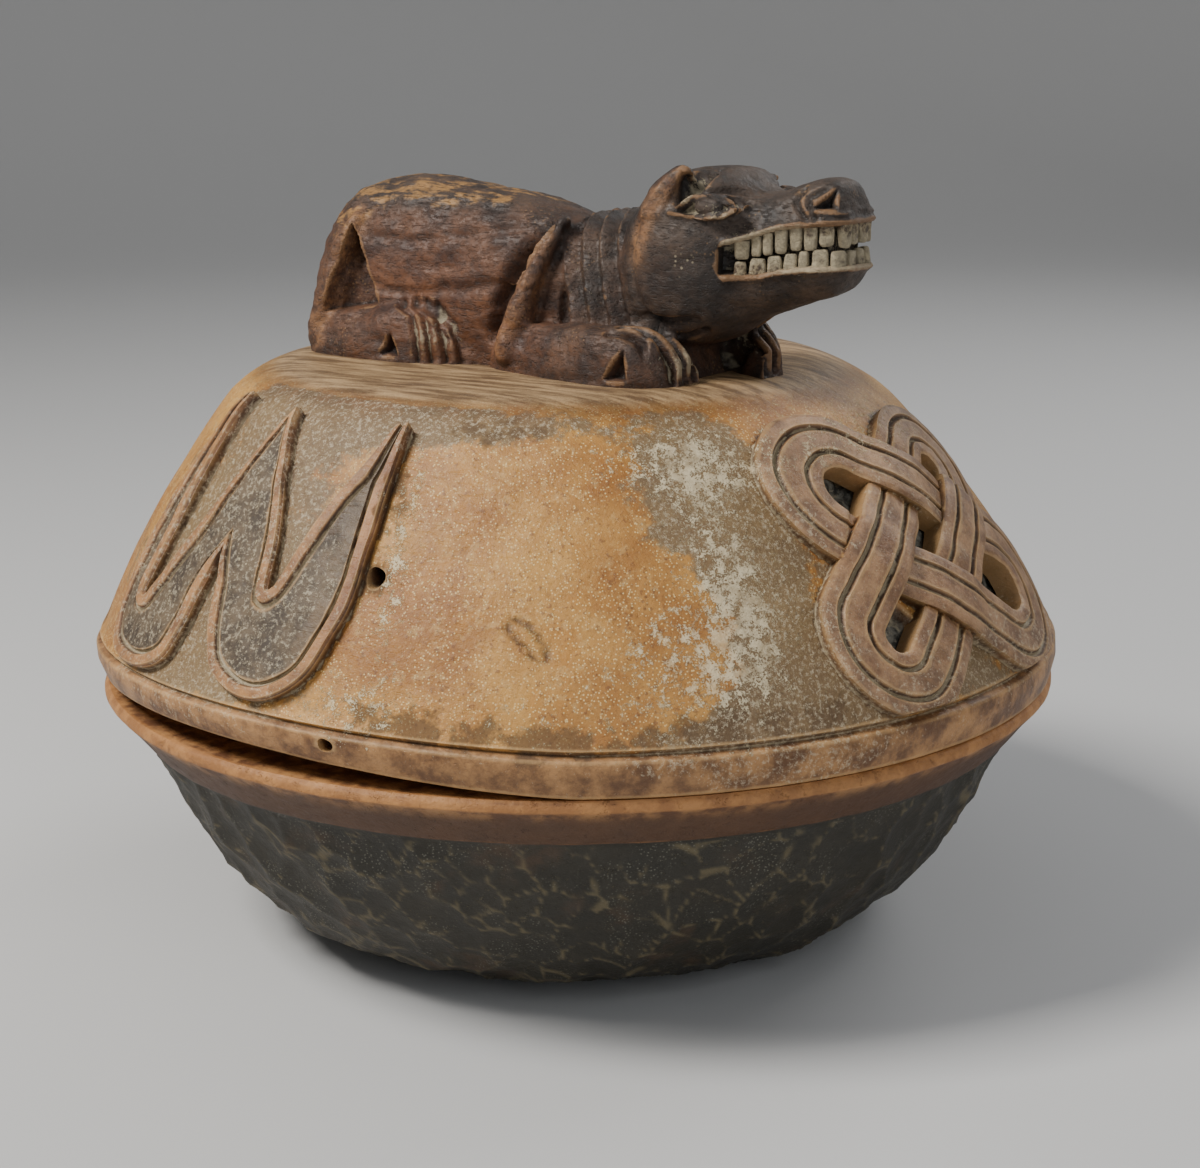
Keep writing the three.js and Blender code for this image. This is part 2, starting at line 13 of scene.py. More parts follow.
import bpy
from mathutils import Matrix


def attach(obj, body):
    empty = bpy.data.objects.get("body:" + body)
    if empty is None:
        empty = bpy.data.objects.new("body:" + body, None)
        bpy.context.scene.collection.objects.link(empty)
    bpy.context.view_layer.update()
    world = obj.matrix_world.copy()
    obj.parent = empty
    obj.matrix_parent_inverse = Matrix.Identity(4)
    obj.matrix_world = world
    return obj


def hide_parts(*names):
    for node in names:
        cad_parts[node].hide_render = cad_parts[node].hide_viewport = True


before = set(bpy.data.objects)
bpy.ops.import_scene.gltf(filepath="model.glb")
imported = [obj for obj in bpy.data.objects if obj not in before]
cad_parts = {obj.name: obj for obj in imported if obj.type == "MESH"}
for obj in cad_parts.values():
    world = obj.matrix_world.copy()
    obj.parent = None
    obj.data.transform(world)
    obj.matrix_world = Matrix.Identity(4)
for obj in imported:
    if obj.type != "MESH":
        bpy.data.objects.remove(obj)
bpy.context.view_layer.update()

# %% Numbers and meshes
import math

import bmesh
import bpy
import numpy as np
from mathutils import Matrix, Vector

MM = 0.001

# %% [markdown]
# ## Helpers for places and surfaces
#
# Hand carving is never quite regular. It could be sculpted stroke by stroke, but a script
# can repeat and change it better when every surface is worked out as an exact shape first and
# then made uneven. Two kinds of unevenness do all of it: a soft swelling from value noise,
# and the scoops that an adze or a gouge leaves, which meet in ridges.

# %% Curves
def bezier(points, steps):
    """Places along a Bezier curve with these control points."""
    t = np.linspace(0, 1, steps + 1)[:, None]
    rows = [np.array(point, float) * np.ones_like(t) for point in points]
    while len(rows) > 1:
        rows = [a + (b - a) * t for a, b in zip(rows, rows[1:])]
    return rows[0]


def flow(stations, steps):
    """A smooth run through rows of numbers, with this many steps between each two."""
    rows = np.array(stations, float)
    rows = np.vstack([2 * rows[0] - rows[1], rows, 2 * rows[-1] - rows[-2]])
    t = (np.arange(steps) / steps)[:, None]
    spans = []
    for a, b, c, d in zip(rows, rows[1:], rows[2:], rows[3:]):
        bend = (2 * a - 5 * b + 4 * c - d) * t**2 + (3 * b - a - 3 * c + d) * t**3
        spans.append(b + 0.5 * ((c - a) * t + bend))
    return np.vstack([*spans, rows[-2]])


def run_along(line):
    """How far along a line each of its points lies."""
    return np.concatenate([[0], np.cumsum(np.hypot(*np.diff(line, axis=0).T))])


def aside(curve):
    """The direction square to a curve and to its left, at each of its points."""
    heading = np.gradient(curve, axis=0)
    heading /= np.linalg.norm(heading, axis=1, keepdims=True)
    return np.stack([-heading[:, 1], heading[:, 0]], axis=-1)


def straight(start, end, steps):
    """Points on a straight stretch, without its start."""
    return np.linspace(start, end, steps + 1)[1:]


def through(start, corners):
    """Points on straight stretches to each corner, which is given with its count of steps."""
    runs = []
    for *corner, steps in corners:
        runs.append(straight(start, corner, steps))
        start = corner
    return np.vstack(runs)


def ease(value, low, high):
    """0 below low, 1 above high, and a soft step between them."""
    t = np.clip((value - low) / (high - low), 0, 1)
    return t * t * (3 - 2 * t)


# %% Unevenness
def cell_noise(cells, seed):
    """A fixed number from 0 to 1 for each cell of a grid."""
    mixed = (cells[..., 0] * 73856093) ^ (cells[..., 1] * 19349663) ^ (cells[..., 2] * 83492791)
    mixed = (mixed ^ (seed * 2654435761)) & 0x7FFFFFFF
    mixed = ((mixed ^ (mixed >> 13)) * 1274126177) & 0x7FFFFFFF
    return ((mixed ^ (mixed >> 16)) & 0xFFFF) / 65535


def swell(places, size, seed=1):
    """Smooth noise from -1 to 1 whose humps are about this many millimetres long."""
    spots = places / size
    cells = np.floor(spots).astype(np.int64)
    part = spots - cells
    part = part * part * (3 - 2 * part)
    total = 0
    for corner in np.ndindex(2, 2, 2):
        share = np.prod(np.where(corner, part, 1 - part), axis=-1)
        total = total + share * cell_noise(cells + np.array(corner), seed)
    return 2 * total - 1


def rough(places, size, seed=1, layers=3):
    """Swell with finer and finer swell laid on it."""
    return sum(swell(places, size / 2**i, seed + i) / 2**i for i in range(layers)) / 1.75


def scoops(places, size, hollow, seed=1):
    """Overlapping scoops: their height, 0 in the middle of each, and a mark on their ridges."""
    spots = places / size
    cells = np.floor(spots).astype(np.int64)
    lowest, second = np.full((2, len(places)), 1e9)
    for step in np.ndindex(3, 3, 3):
        cell = cells + np.array(step) - 1
        jitter = [cell_noise(cell, seed + axis) for axis in range(3)]
        away = spots - cell - np.stack(jitter, axis=-1)
        deep = 0.25 * hollow * cell_noise(cell, seed + 5)
        height = hollow * (away**2).sum(axis=-1) + deep
        second = np.minimum(second, np.maximum(lowest, height))
        lowest = np.minimum(lowest, height)
    return np.minimum(lowest, 1.3 * hollow), 1 - ease(second - lowest, 0, 0.11 * hollow)


# %% [markdown]
# ## Meshes from numbers
#
# Each piece starts as a grid of places. Numbers kept on its points, called marks here, say
# what was carved where, and the materials read them later. Vertex groups could hold them
# too, but a material reads a plain attribute directly.

# %% Making mesh objects
def quads(rows, columns, closed=True):
    """The faces of a grid of points, closed round in its columns or not."""
    counts = np.arange(rows - 1), np.arange(columns - (not closed))
    row, column = np.meshgrid(*counts, indexing="ij")
    a = row * columns + column
    b = row * columns + (column + 1) % columns
    return np.stack([a, b, b + columns, a + columns], axis=-1).reshape(-1, 4)


def make_object(name, places, faces, marks=None):
    """A mesh object from places in millimetres, with named numbers on its points."""
    mesh = bpy.data.meshes.new(name)
    mesh.from_pydata((np.asarray(places) * MM).tolist(), [], [list(face) for face in faces])
    mesh.validate()
    for mark, values in (marks or {}).items():
        write_mark(mesh, mark, values)
    piece = bpy.data.objects.new(name, mesh)
    bpy.context.scene.collection.objects.link(piece)
    return piece


# %% Reading and writing points
def write_mark(mesh, mark, values):
    """Keeps one number on each point of a mesh."""
    layer = mesh.attributes.get(mark) or mesh.attributes.new(mark, "FLOAT", "POINT")
    layer.data.foreach_set("value", np.ascontiguousarray(values, np.float32))


def read_mark(mesh, mark):
    values = np.zeros(len(mesh.vertices), np.float32)
    mesh.attributes[mark].data.foreach_get("value", values)
    return values


def read_places(mesh):
    """The places of a mesh's points, in millimetres."""
    values = np.zeros(len(mesh.vertices) * 3, np.float32)
    mesh.vertices.foreach_get("co", values)
    return values.reshape(-1, 3).astype(float) / MM


def write_places(mesh, places):
    mesh.vertices.foreach_set("co", (places * MM).astype(np.float32).ravel())
    mesh.update()


def read_normals(mesh):
    values = np.zeros(len(mesh.vertices) * 3, np.float32)
    mesh.vertex_normals.foreach_get("vector", values)
    return values.reshape(-1, 3).astype(float)


# %% Modifiers and faces
def apply_modifier(piece, kind, **settings):
    """Adds one modifier with these settings and applies it at once."""
    modifier = piece.modifiers.new(kind.lower(), kind)
    for name, value in settings.items():
        setattr(modifier, name, value)
    with bpy.context.temp_override(object=piece, active_object=piece, selected_objects=[piece]):
        bpy.ops.object.modifier_apply(modifier=modifier.name)


def orient(piece):
    """Turns every face of a closed piece outwards."""
    work = bmesh.new()
    work.from_mesh(piece.data)
    bmesh.ops.recalc_face_normals(work, faces=work.faces)
    work.to_mesh(piece.data)
    work.free()


# %% Hollows and edges
def mark_relief(mesh, passes, hollow_depth, edge_depth):
    """Marks hollows and edges: how far a point lies under or over its surroundings."""
    places = read_places(mesh)
    ends = np.zeros(len(mesh.edges) * 2, np.int32)
    mesh.edges.foreach_get("vertices", ends)
    a, b = ends.reshape(-1, 2).T
    count = np.bincount(ends, minlength=len(places))[:, None].clip(1)
    soft = places
    for _ in range(passes):
        total = np.zeros_like(soft)
        for axis in range(3):
            total[:, axis] = np.bincount(a, soft[b, axis], len(soft))
            total[:, axis] += np.bincount(b, soft[a, axis], len(soft))
        soft = 0.5 * soft + 0.5 * total / count
    depth = ((soft - places) * read_normals(mesh)).sum(axis=1)
    write_mark(mesh, "hollow", ease(depth, 0, hollow_depth))
    write_mark(mesh, "edge", ease(-depth, 0, edge_depth))


# %% [markdown]
# ## The lid's dome
#
# The lid is turned in form and carved by hand: a rim band, a groove, a wall that bulges, a
# rounded shoulder and a flat top. A surface of revolution could come from a Screw modifier,
# but a grid of rows and columns worked out in numpy keeps the place of each point on the wall
# known, and all the carving needs that.

# %% The lid's sizes, in millimetres
REST_GAP = 0.3
BOWL_HEIGHT = 98
LID_HEIGHT = 114
LID_WALL = 15
RIM_RADIUS = 178.7
BAND_RADIUS = 180.8
GROOVE_RADIUS, GROOVE_HEIGHT = 178, 14.4
BAND_HEIGHT = 13
WALL = bezier([(179.2, 16), (158, 61.5), (124, 102)], 60)
SHOULDER = bezier([(124, 102), (112, 114), (92, 114)], 14)
DOME = np.vstack([WALL, SHOULDER[1:]])
DOME_RUN = run_along(DOME)
DOME_HEADING = np.gradient(DOME, DOME_RUN, axis=0)
print("the wall and shoulder run", round(float(DOME_RUN[-1]), 1), "mm up")


# %% Places on the dome
def dome_at(up):
    """Radius, height and heading of the dome this far up the wall from its foot."""
    up = np.clip(up, 0, DOME_RUN[-1])
    columns = [*DOME.T, *DOME_HEADING.T]
    return [np.interp(up, DOME_RUN, column) for column in columns]


def on_dome(angle, across, up, height):
    """A place on the dome, in millimetres across and up from a line at this angle."""
    radius, level, out, rise = dome_at(up)
    turn = np.radians(angle) + across / radius
    reach = radius + height * rise
    return np.stack([reach * np.cos(turn), reach * np.sin(turn), level - height * out], axis=-1)


# %% The lean and the warp of the hand-carved lid
LEAN, LEAN_TOWARD = 0.055, math.radians(213)
DROP, DROP_ANGLE = 5, math.radians(33)
WARP_LIFT, WARP_ANGLE, WARP_HALF_ANGLE, WARP_FADE = 8, -102, 45, 60


def as_carved(places):
    """Leans the top over, lowers the shoulder on one side and lifts the warped rim."""
    x, y, z = places.T
    angle = np.arctan2(y, x)
    away = (np.degrees(angle) - WARP_ANGLE + 180) % 360 - 180
    near = np.clip(1 - (away / WARP_HALF_ANGLE) ** 2, 0, 1) ** 1.3
    low = np.clip(1 - np.clip(z, 0, None) / WARP_FADE, 0, 1) ** 2
    side = np.clip(np.cos(angle - DROP_ANGLE), 0, 1) * ease(np.hypot(x, y), 85, 125)
    drop = DROP * side * (np.clip(z, 0, None) / LID_HEIGHT) ** 3
    lean = LEAN * z
    return np.stack([
        x + lean * math.cos(LEAN_TOWARD),
        y + lean * math.sin(LEAN_TOWARD),
        z + WARP_LIFT * near * low - drop,
    ], axis=-1)


# %% [markdown]
# ## The knot
#
# Two long loops of one three-ridged band are laid across each other and woven over and under
# by turns. The band is a swept section: its path is known in millimetres on the wall, so the
# grooves follow it exactly, which a height map on a square grid would blur.

# %% The knot's sizes
KNOT_ANGLE, KNOT_UP = -5, 55
KNOT_LOOPS = [
    {"tilt": -40, "half": 20, "upper": 34, "lower": 43},
    {"tilt": -143, "half": 16, "upper": 36, "lower": 51},
]
KNOT_RISE, KNOT_ROOT, KNOT_WEAVE = 5, -4, 1.9
KNOT_BAND_HALF = 11
KNOT_RIDGES = [-11, -10.8, -10.2, -9, -7.4, -6.2, -5.5, -5, -4.5, -3.8, -2, 0, 2,
               3.8, 4.6, 5.2, 5.8, 6.5, 7.6, 9, 10.2, 10.8, 11]
KNOT_GROOVES = [(-5, 0.75, 1.9), (5.2, 0.75, 1.9)]
WEAVE_REACH = 19


# %% One loop's path on the wall
KNOT_STEP = 1.1


def knot_path(loop, other, step=KNOT_STEP):
    """Rows of across, up and weave round one loop, in millimetres on the wall."""
    between = math.radians(other["tilt"] - loop["tilt"])
    half = loop["half"]
    rows = []
    for end, reach in ((1, loop["lower"]), (-1, loop["upper"])):
        for turn in np.linspace(math.pi / 2, -math.pi / 2, int(math.pi * half / step)):
            rows.append([end * (reach + half * math.cos(turn)), end * half * math.sin(turn), 0])
        beside = -end * half
        far = loop["upper"] if end > 0 else loop["lower"]
        lengthwise = np.linspace(end * reach, -end * far, int((reach + far) / step))[1:-1]
        weave = np.zeros_like(lengthwise)
        for side in (other["half"], -other["half"]):
            crossing = (beside * math.cos(between) - side) / math.sin(between)
            near = np.clip(1 - np.abs(lengthwise - crossing) / WEAVE_REACH, 0, 1)
            weave += -np.sign(crossing * beside) * ease(near, 0, 0.75)
        rows += [[along, beside, rise] for along, rise in zip(lengthwise, weave)]
    along, beside, weave = np.array(rows).T
    lean = math.radians(loop["tilt"])
    across = along * math.cos(lean) - beside * math.sin(lean)
    up = KNOT_UP + along * math.sin(lean) + beside * math.cos(lean)
    return np.stack([across, up, weave], axis=-1)


# %% The band swept along that path
def knot_band(name, path, seed):
    """A closed woven band with three ridges, standing on the dome."""
    ahead = np.roll(path[:, :2], -1, axis=0) - np.roll(path[:, :2], 1, axis=0)
    ahead /= np.linalg.norm(ahead, axis=1, keepdims=True)
    beside = np.stack([-ahead[:, 1], ahead[:, 0]], axis=-1)
    shares = np.array([KNOT_RIDGES[0], *KNOT_RIDGES, KNOT_RIDGES[-1]])
    offset = np.broadcast_to(shares, (len(path), len(shares)))
    flat = np.stack([path[:, :1] + 0 * offset, path[:, 1:2] + offset, 0 * offset], axis=-1)
    wobble = 0.35 * swell(flat, 9, seed)
    across = path[:, :1] + (offset + wobble) * beside[:, :1]
    up = path[:, 1:2] + (offset + wobble) * beside[:, 1:]
    edge = np.abs(shares) / KNOT_BAND_HALF
    section = KNOT_RISE - 0.7 * ease(edge, 0.9, 1) + 0.25 * (1 - edge**2)
    groove = np.zeros_like(shares)
    for middle, width, depth in KNOT_GROOVES:
        groove = np.maximum(groove, np.exp(-(((shares - middle) / width) ** 4)))
        section = section - depth * np.exp(-(((shares - middle) / width) ** 4))
    height = section + KNOT_WEAVE * path[:, 2:3] + 0.3 * rough(flat, 6, seed + 3)
    height[:, [0, -1]] = KNOT_ROOT
    places = on_dome(KNOT_ANGLE, across, up, height).reshape(-1, 3)
    rows, columns = height.shape
    faces = np.vstack([quads(rows, columns), wrap_rows(rows, columns)])
    marks = {
        "knot": np.ones(rows * columns),
        "groove": np.broadcast_to(groove, height.shape).ravel(),
    }
    piece = make_object(name, places, faces, marks)
    orient(piece)
    return piece


# %% Both loops
def wrap_rows(rows, columns):
    """The faces that join the last row of a grid to its first."""
    column = np.arange(columns)
    after = (column + 1) % columns
    last = (rows - 1) * columns
    return np.stack([last + column, last + after, after, column], axis=-1)


def knot_bands():
    """Both loops, each told where it passes over the other."""
    first, second = KNOT_LOOPS
    paths = [knot_path(first, second), knot_path(second, first)]
    print("the knot's loops are", [round(len(path) * KNOT_STEP) for path in paths], "mm round")
    return [
        knot_band("knot_loop_1", paths[0], 11),
        knot_band("knot_loop_2", paths[1], 12),
    ]


# %% [markdown]
# ## The zigzag
#
# One broad stroke runs down, up to a tall peak, down and up again. A raised border follows
# each of its edges, and the dark middle between them widens at the bends and runs out to a
# point at the tops. A band swept along a path keeps one width, so here the stroke is ruled
# between its two edges, and only the borders keep their width. It is carved once beside each
# of the animal's flanks.

# %% The zigzag's two edges, in degrees from the panel's middle and millimetres up the wall
ZIGZAG_ANGLE = 104.5
ZIGZAG_RISE, ZIGZAG_ROOT = 4, -4
ZIGZAG_LEFT = [
    ((-17, 108), (-15, 110)), ((-18.5, 88), (-14.4, 90)), ((-19.8, 64), (-13.6, 62)),
    ((-20.2, 36), (-13.9, 36)), ((-19, 17), (-14, 30)), ((-16, 5.5), (-13.9, 29)),
    ((-11.5, 2), (-13.6, 28.6)), ((-7, 3.5), (-13.2, 29)), ((-3.8, 10), (-12.9, 30)),
    ((-2, 25), (-12.2, 33)), ((-1.2, 41), (-7.9, 58)), ((0, 54), (0.8, 109)),
]
ZIGZAG_RIGHT = [
    ((0, 54), (0.8, 109)), ((1.3, 40), (8, 69)), ((2.6, 25), (9.6, 47)),
    ((5, 12), (9.8, 44.5)), ((8.6, 5.3), (10, 43.8)), ((12.6, 4.2), (10.3, 44)),
    ((16.8, 11.5), (10.6, 45)), ((19.6, 25), (11, 47)), ((22, 45), (12.6, 60)),
    ((22.9, 66), (15.2, 76)), ((23.6, 88), (19, 92)), ((24.2, 107), (22.2, 106)),
]
ZIGZAG_INSETS = [0, 0, 0.25, 0.9, 2, 3.4, 4.6, 5.2, 5.6, 6, 6.5, 7.2]
ZIGZAG_MIDDLE = 13


# %% The two edges on the wall
def zigzag_edges():
    """Both edges as smooth runs of places across and up the wall, in millimetres."""
    left, right = [
        flow(np.array(edges, float).reshape(-1, 4), 9) for edges in (ZIGZAG_LEFT, ZIGZAG_RIGHT)
    ]
    rows = np.vstack([left, right[1:]])
    outer, inner = rows[:, :2].copy(), rows[:, 2:].copy()
    for edge in (outer, inner):
        edge[:, 0] *= np.radians(1) * dome_at(edge[:, 1])[0]
    return outer, inner


def ruled_shares(width):
    """Shares of the way from edge to edge, and how far each point lies from its edge."""
    insets = np.array(ZIGZAG_INSETS)
    squeeze = np.minimum(1, 0.48 * width / insets[-1])
    near = insets * squeeze / width
    middle = np.linspace(0, 1, ZIGZAG_MIDDLE + 2)[1:-1]
    middle = near[:, -1:] + middle * (1 - 2 * near[:, -1:])
    share = np.hstack([near, middle, 1 - near[:, ::-1]])
    return share, np.minimum(share, 1 - share) * width / squeeze


# %% The stroke ruled between them
def zigzag_stroke(name, hand, seed):
    """The ruled stroke with its borders, turned to one side or mirrored to the other."""
    outer, inner = zigzag_edges()
    share, depth = ruled_shares(np.linalg.norm(inner - outer, axis=1)[:, None])
    across = outer[:, :1] + share * (inner - outer)[:, :1]
    up = outer[:, 1:] + share * (inner - outer)[:, 1:]
    flat = np.stack([across, up, 0 * up + 50 * hand], axis=-1)
    across = across + 0.4 * swell(flat, 10, seed)
    groove = np.exp(-(((depth - 6) / 0.75) ** 4))
    centre = ease(depth, 6, 6.8)
    height = ZIGZAG_RISE - 1.3 * (1 - ease(depth, 0, 1.1)) - 1.9 * groove - 0.8 * centre
    height = height + 0.3 * rough(flat, 7, seed + 2) - 0.35 * centre * rough(flat, 5, seed + 4)
    height[:, [0, -1]] = ZIGZAG_ROOT
    places = on_dome(-hand * ZIGZAG_ANGLE, hand * across, up, height).reshape(-1, 3)
    faces = [list(face) for face in quads(*height.shape)]
    columns = height.shape[1]
    faces.append(list(range(columns)))
    faces.append(list(range(height.size - columns, height.size)))
    marks = {"centre": centre.ravel(), "border": (1 - centre).ravel(), "groove": groove.ravel()}
    piece = make_object(name, places, faces, marks)
    orient(piece)
    return piece


# %% [markdown]
# ## Turning the lid
#
# The lid's rows run from the middle of the top over the shoulder, down the wall, round the
# rim and back up inside. The places between the knot's bands are gouged out deeper than the
# wall. They could be cut with booleans, but their bottoms are rough, so the rows themselves
# are pushed in there, and the columns stand closer together round the knot.

# %% The lid's profile
LID_COLUMNS = 500
INNER_COARSENESS = 3


def inside_of(curve, thickness):
    """A curve drawn upwards, moved inwards by the thickness of the wood."""
    return curve + thickness * aside(curve)


def lid_profile():
    """Rows of radius, height and 'outside', from the top's middle round to the inside."""
    plateau = straight((0, LID_HEIGHT), SHOULDER[-1], 22)
    wall = np.vstack([SHOULDER[::-1][1:], WALL[::-1][1:]])
    rim = through(WALL[0], [
        (178.5, 15.2, 1), (GROOVE_RADIUS, GROOVE_HEIGHT, 1), (178.9, 13.7, 1),
        (180.3, BAND_HEIGHT + 0.2, 1), (BAND_RADIUS, BAND_HEIGHT - 0.6, 1),
        (BAND_RADIUS, 7.8, 3), (RIM_RADIUS, 0.5, 4), (RIM_RADIUS - 0.6, 0, 1),
    ])
    under = straight((RIM_RADIUS - 0.6, 0), (RIM_RADIUS - LID_WALL, 0), 4)
    inner = np.vstack([
        inside_of(WALL, LID_WALL)[::INNER_COARSENESS],
        inside_of(SHOULDER, LID_WALL)[2::INNER_COARSENESS],
    ])
    ceiling = straight(inner[-1], (0, LID_HEIGHT - LID_WALL), 12)[:-1]
    outside = np.vstack([plateau, wall, rim])
    inside = np.vstack([under, inner, ceiling])
    profile = np.vstack([outside, inside])
    return profile, np.arange(len(profile)) < len(outside)


def lid_columns():
    """Angles round the lid, closer together at the knot."""
    fine = np.radians(np.linspace(-180, 180, 2001))
    density = 1 + 1.1 * np.exp(-(((np.degrees(fine) - KNOT_ANGLE) / 30) ** 4))
    run = np.concatenate([[0], np.cumsum((density[1:] + density[:-1]) / 2)])
    return np.interp(np.linspace(0, run[-1], LID_COLUMNS)[:-1], run, fine)


# %% The pockets between the knot's bands
POCKET_DEPTH, POCKET_RADIUS = 5.5, 17


def pocket_depth(angle, up):
    """How deep the gouged pockets go at places given by angle and height up the wall."""
    radius = dome_at(up)[0]
    across = (np.degrees(angle) - KNOT_ANGLE) * np.radians(1) * radius
    middles = [(0, KNOT_UP)]
    for loop in KNOT_LOOPS:
        lean = math.radians(loop["tilt"])
        for reach in (loop["lower"], -loop["upper"]):
            middles.append((reach * math.cos(lean), KNOT_UP + reach * math.sin(lean)))
    deepest = np.zeros_like(up)
    for middle_across, middle_up in middles:
        away = np.hypot(across - middle_across, up - middle_up)
        deepest = np.maximum(deepest, 1 - ease(away, POCKET_RADIUS - 4, POCKET_RADIUS))
    return deepest


# %% The turned body of the lid
def turned_piece(name, profile, angles, shift, marks):
    """A closed piece from a profile that starts and ends on the axis."""
    radius, height = profile.T
    radius = radius[:, None] + shift[..., 0]
    height = height[:, None] + shift[..., 1]
    rings = np.stack([radius * np.cos(angles), radius * np.sin(angles), height], axis=-1)
    rows, columns = radius.shape
    top, bottom = rows * columns, rows * columns + 1
    ends = [[0, 0, height[0].mean()], [0, 0, height[-1].mean()]]
    faces = [list(face) for face in quads(rows, columns)]
    for j in range(columns):
        k = (j + 1) % columns
        faces.append([top, k, j])
        faces.append([bottom, (rows - 1) * columns + j, (rows - 1) * columns + k])
    values = {
        mark: np.append(grid.ravel(), [grid[0, 0], grid[-1, 0]]) for mark, grid in marks.items()
    }
    piece = make_object(name, np.vstack([rings.reshape(-1, 3), ends]), faces, values)
    orient(piece)
    return piece


def turned_grid(profile, angles):
    """Angle, height and place of every point of a profile turned round the axis."""
    turn, level = np.meshgrid(angles, profile[:, 1])
    reach = np.broadcast_to(profile[:, :1], turn.shape)
    places = np.stack([reach * np.cos(turn), reach * np.sin(turn), level], axis=-1)
    return turn, level, places.reshape(-1, 3)


# %% The lid with its unevenness and pockets
def turned_lid():
    """The lid's body: soft and faceted outside, gouged inside, with the knot's pockets."""
    profile, outside = lid_profile()
    angles = lid_columns()
    turn, level, places = turned_grid(profile, angles)
    shape = turn.shape
    soft = 0.8 * rough(places, 60, 3).reshape(shape) + 0.3 * rough(places, 14, 7).reshape(shape)
    flats = scoops(places, 30, 1.6, 21)[0].reshape(shape)
    gouges = scoops(places, 17, 2.2, 31)[0].reshape(shape)
    crisp = ease(level, 14, 22) * (1 - ease(level, 104, 113))
    out = outside[:, None]
    rise = np.where(out, soft * (0.35 + 0.65 * crisp) - 0.5 * crisp * flats, soft - gouges)
    on_wall = out & (level > WALL[0, 1])
    up = np.interp(level, DOME[:, 1], DOME_RUN)
    pockets = np.where(on_wall, pocket_depth(turn, up), 0)
    bottom = scoops(places, 8, 3.5, 41)[0].reshape(shape)
    rise = rise - pockets * (POCKET_DEPTH - 1.5 + bottom)
    rise = np.where(np.abs(level) < 3, 0.4 * soft, rise)
    shift = rise[..., None] * aside(profile)[:, None, :]
    marks = {"pocket": pockets, "inside": np.broadcast_to(1.0 - outside[:, None], shape)}
    return turned_piece("lid_wood", profile, angles, shift, marks)


# %% [markdown]
# ## Joining the relief to the dome
#
# On the real lid the relief is what was left standing when the ground was cut away. Here
# Boolean modifiers weld the bands and strokes to the dome, and drill the holes. A remesh
# would join them too, but it rounds their edges. The Manifold solver keeps the edges and the
# marks, and takes a fraction of a second on closed meshes.

# %% Union, holes and lean
LID_HOLES = [(-80.6, 62.5, 6.5), (-83.3, 9, 5.5), (-123.4, 34, 3.2)]


def drill(angle, level, width):
    """A slightly uneven round cutter, pointing at the lid's axis."""
    rows, columns = 12, 20
    turn = np.linspace(0, 2 * math.pi, columns, endpoint=False)
    reach = np.linspace(120, 220, rows)
    grid = np.stack(np.meshgrid(reach, turn, indexing="ij"), axis=-1)
    wide = width / 2 * (1 + 0.08 * np.sin(3 * grid[..., 1] + 1))
    y, z = wide * np.cos(grid[..., 1]), level + wide * np.sin(grid[..., 1])
    c, s = math.cos(math.radians(angle)), math.sin(math.radians(angle))
    x = grid[..., 0]
    places = np.stack([c * x - s * y, s * x + c * y, z], axis=-1).reshape(-1, 3)
    faces = [list(face) for face in quads(rows, columns)]
    faces += [list(range(columns)), list(range(places.shape[0] - columns, places.shape[0]))]
    cutter = make_object("lid_hole", places, faces)
    orient(cutter)
    return cutter


def weld(piece, others, operation):
    """Joins the others to a piece or cuts them out of it, one by one."""
    for other in others:
        apply_modifier(piece, "BOOLEAN", solver="MANIFOLD", operation=operation, object=other)
        bpy.data.objects.remove(other)


MARKS = ("pocket", "inside", "knot", "groove", "centre", "border")


def carved_lid():
    """The turned lid with its knot and zigzags joined on and its holes drilled."""
    lid = turned_lid()
    zigzags = [zigzag_stroke("zigzag", 1, 51), zigzag_stroke("zigzag", -1, 61)]
    weld(lid, [*knot_bands(), *zigzags], "UNION")
    weld(lid, [drill(*hole) for hole in LID_HOLES], "DIFFERENCE")
    for mark in MARKS:
        if mark not in lid.data.attributes:
            write_mark(lid.data, mark, np.zeros(len(lid.data.vertices)))
    return lid


lid = carved_lid()
print("lid", len(lid.data.vertices), "points", len(lid.data.polygons), "faces")

# %% [markdown]
# ## The bowl
#
# The bowl is round in the belly with a flat foot, a smooth band under its rim and a low lip
# inside that keeps the lid centred. Below the band its wall was dressed with an adze, which
# left shallow scoops with thin ridges between them. A bump in the material could only fake
# them, and they show in the outline, so they are pushed into the mesh.

# %% The bowl's profile
FOOT_RADIUS, BOWL_WALL, SCOOP_SIZE = 70, 15, 13
BELLY = bezier([(FOOT_RADIUS, 0), (135, 0), (150, 46), (165, 78)], 74)
LIP_OUTER, LIP_THICKNESS, LIP_HEIGHT = RIM_RADIUS - LID_WALL - 2, 5, 6
LIP_TOP = BOWL_HEIGHT + LIP_HEIGHT
RIDGE_RADIUS, BOWL_RIM_RADIUS = 179.2, 177.7
BOWL_COLUMNS, BOWL_BAND_FOOT = 640, 79


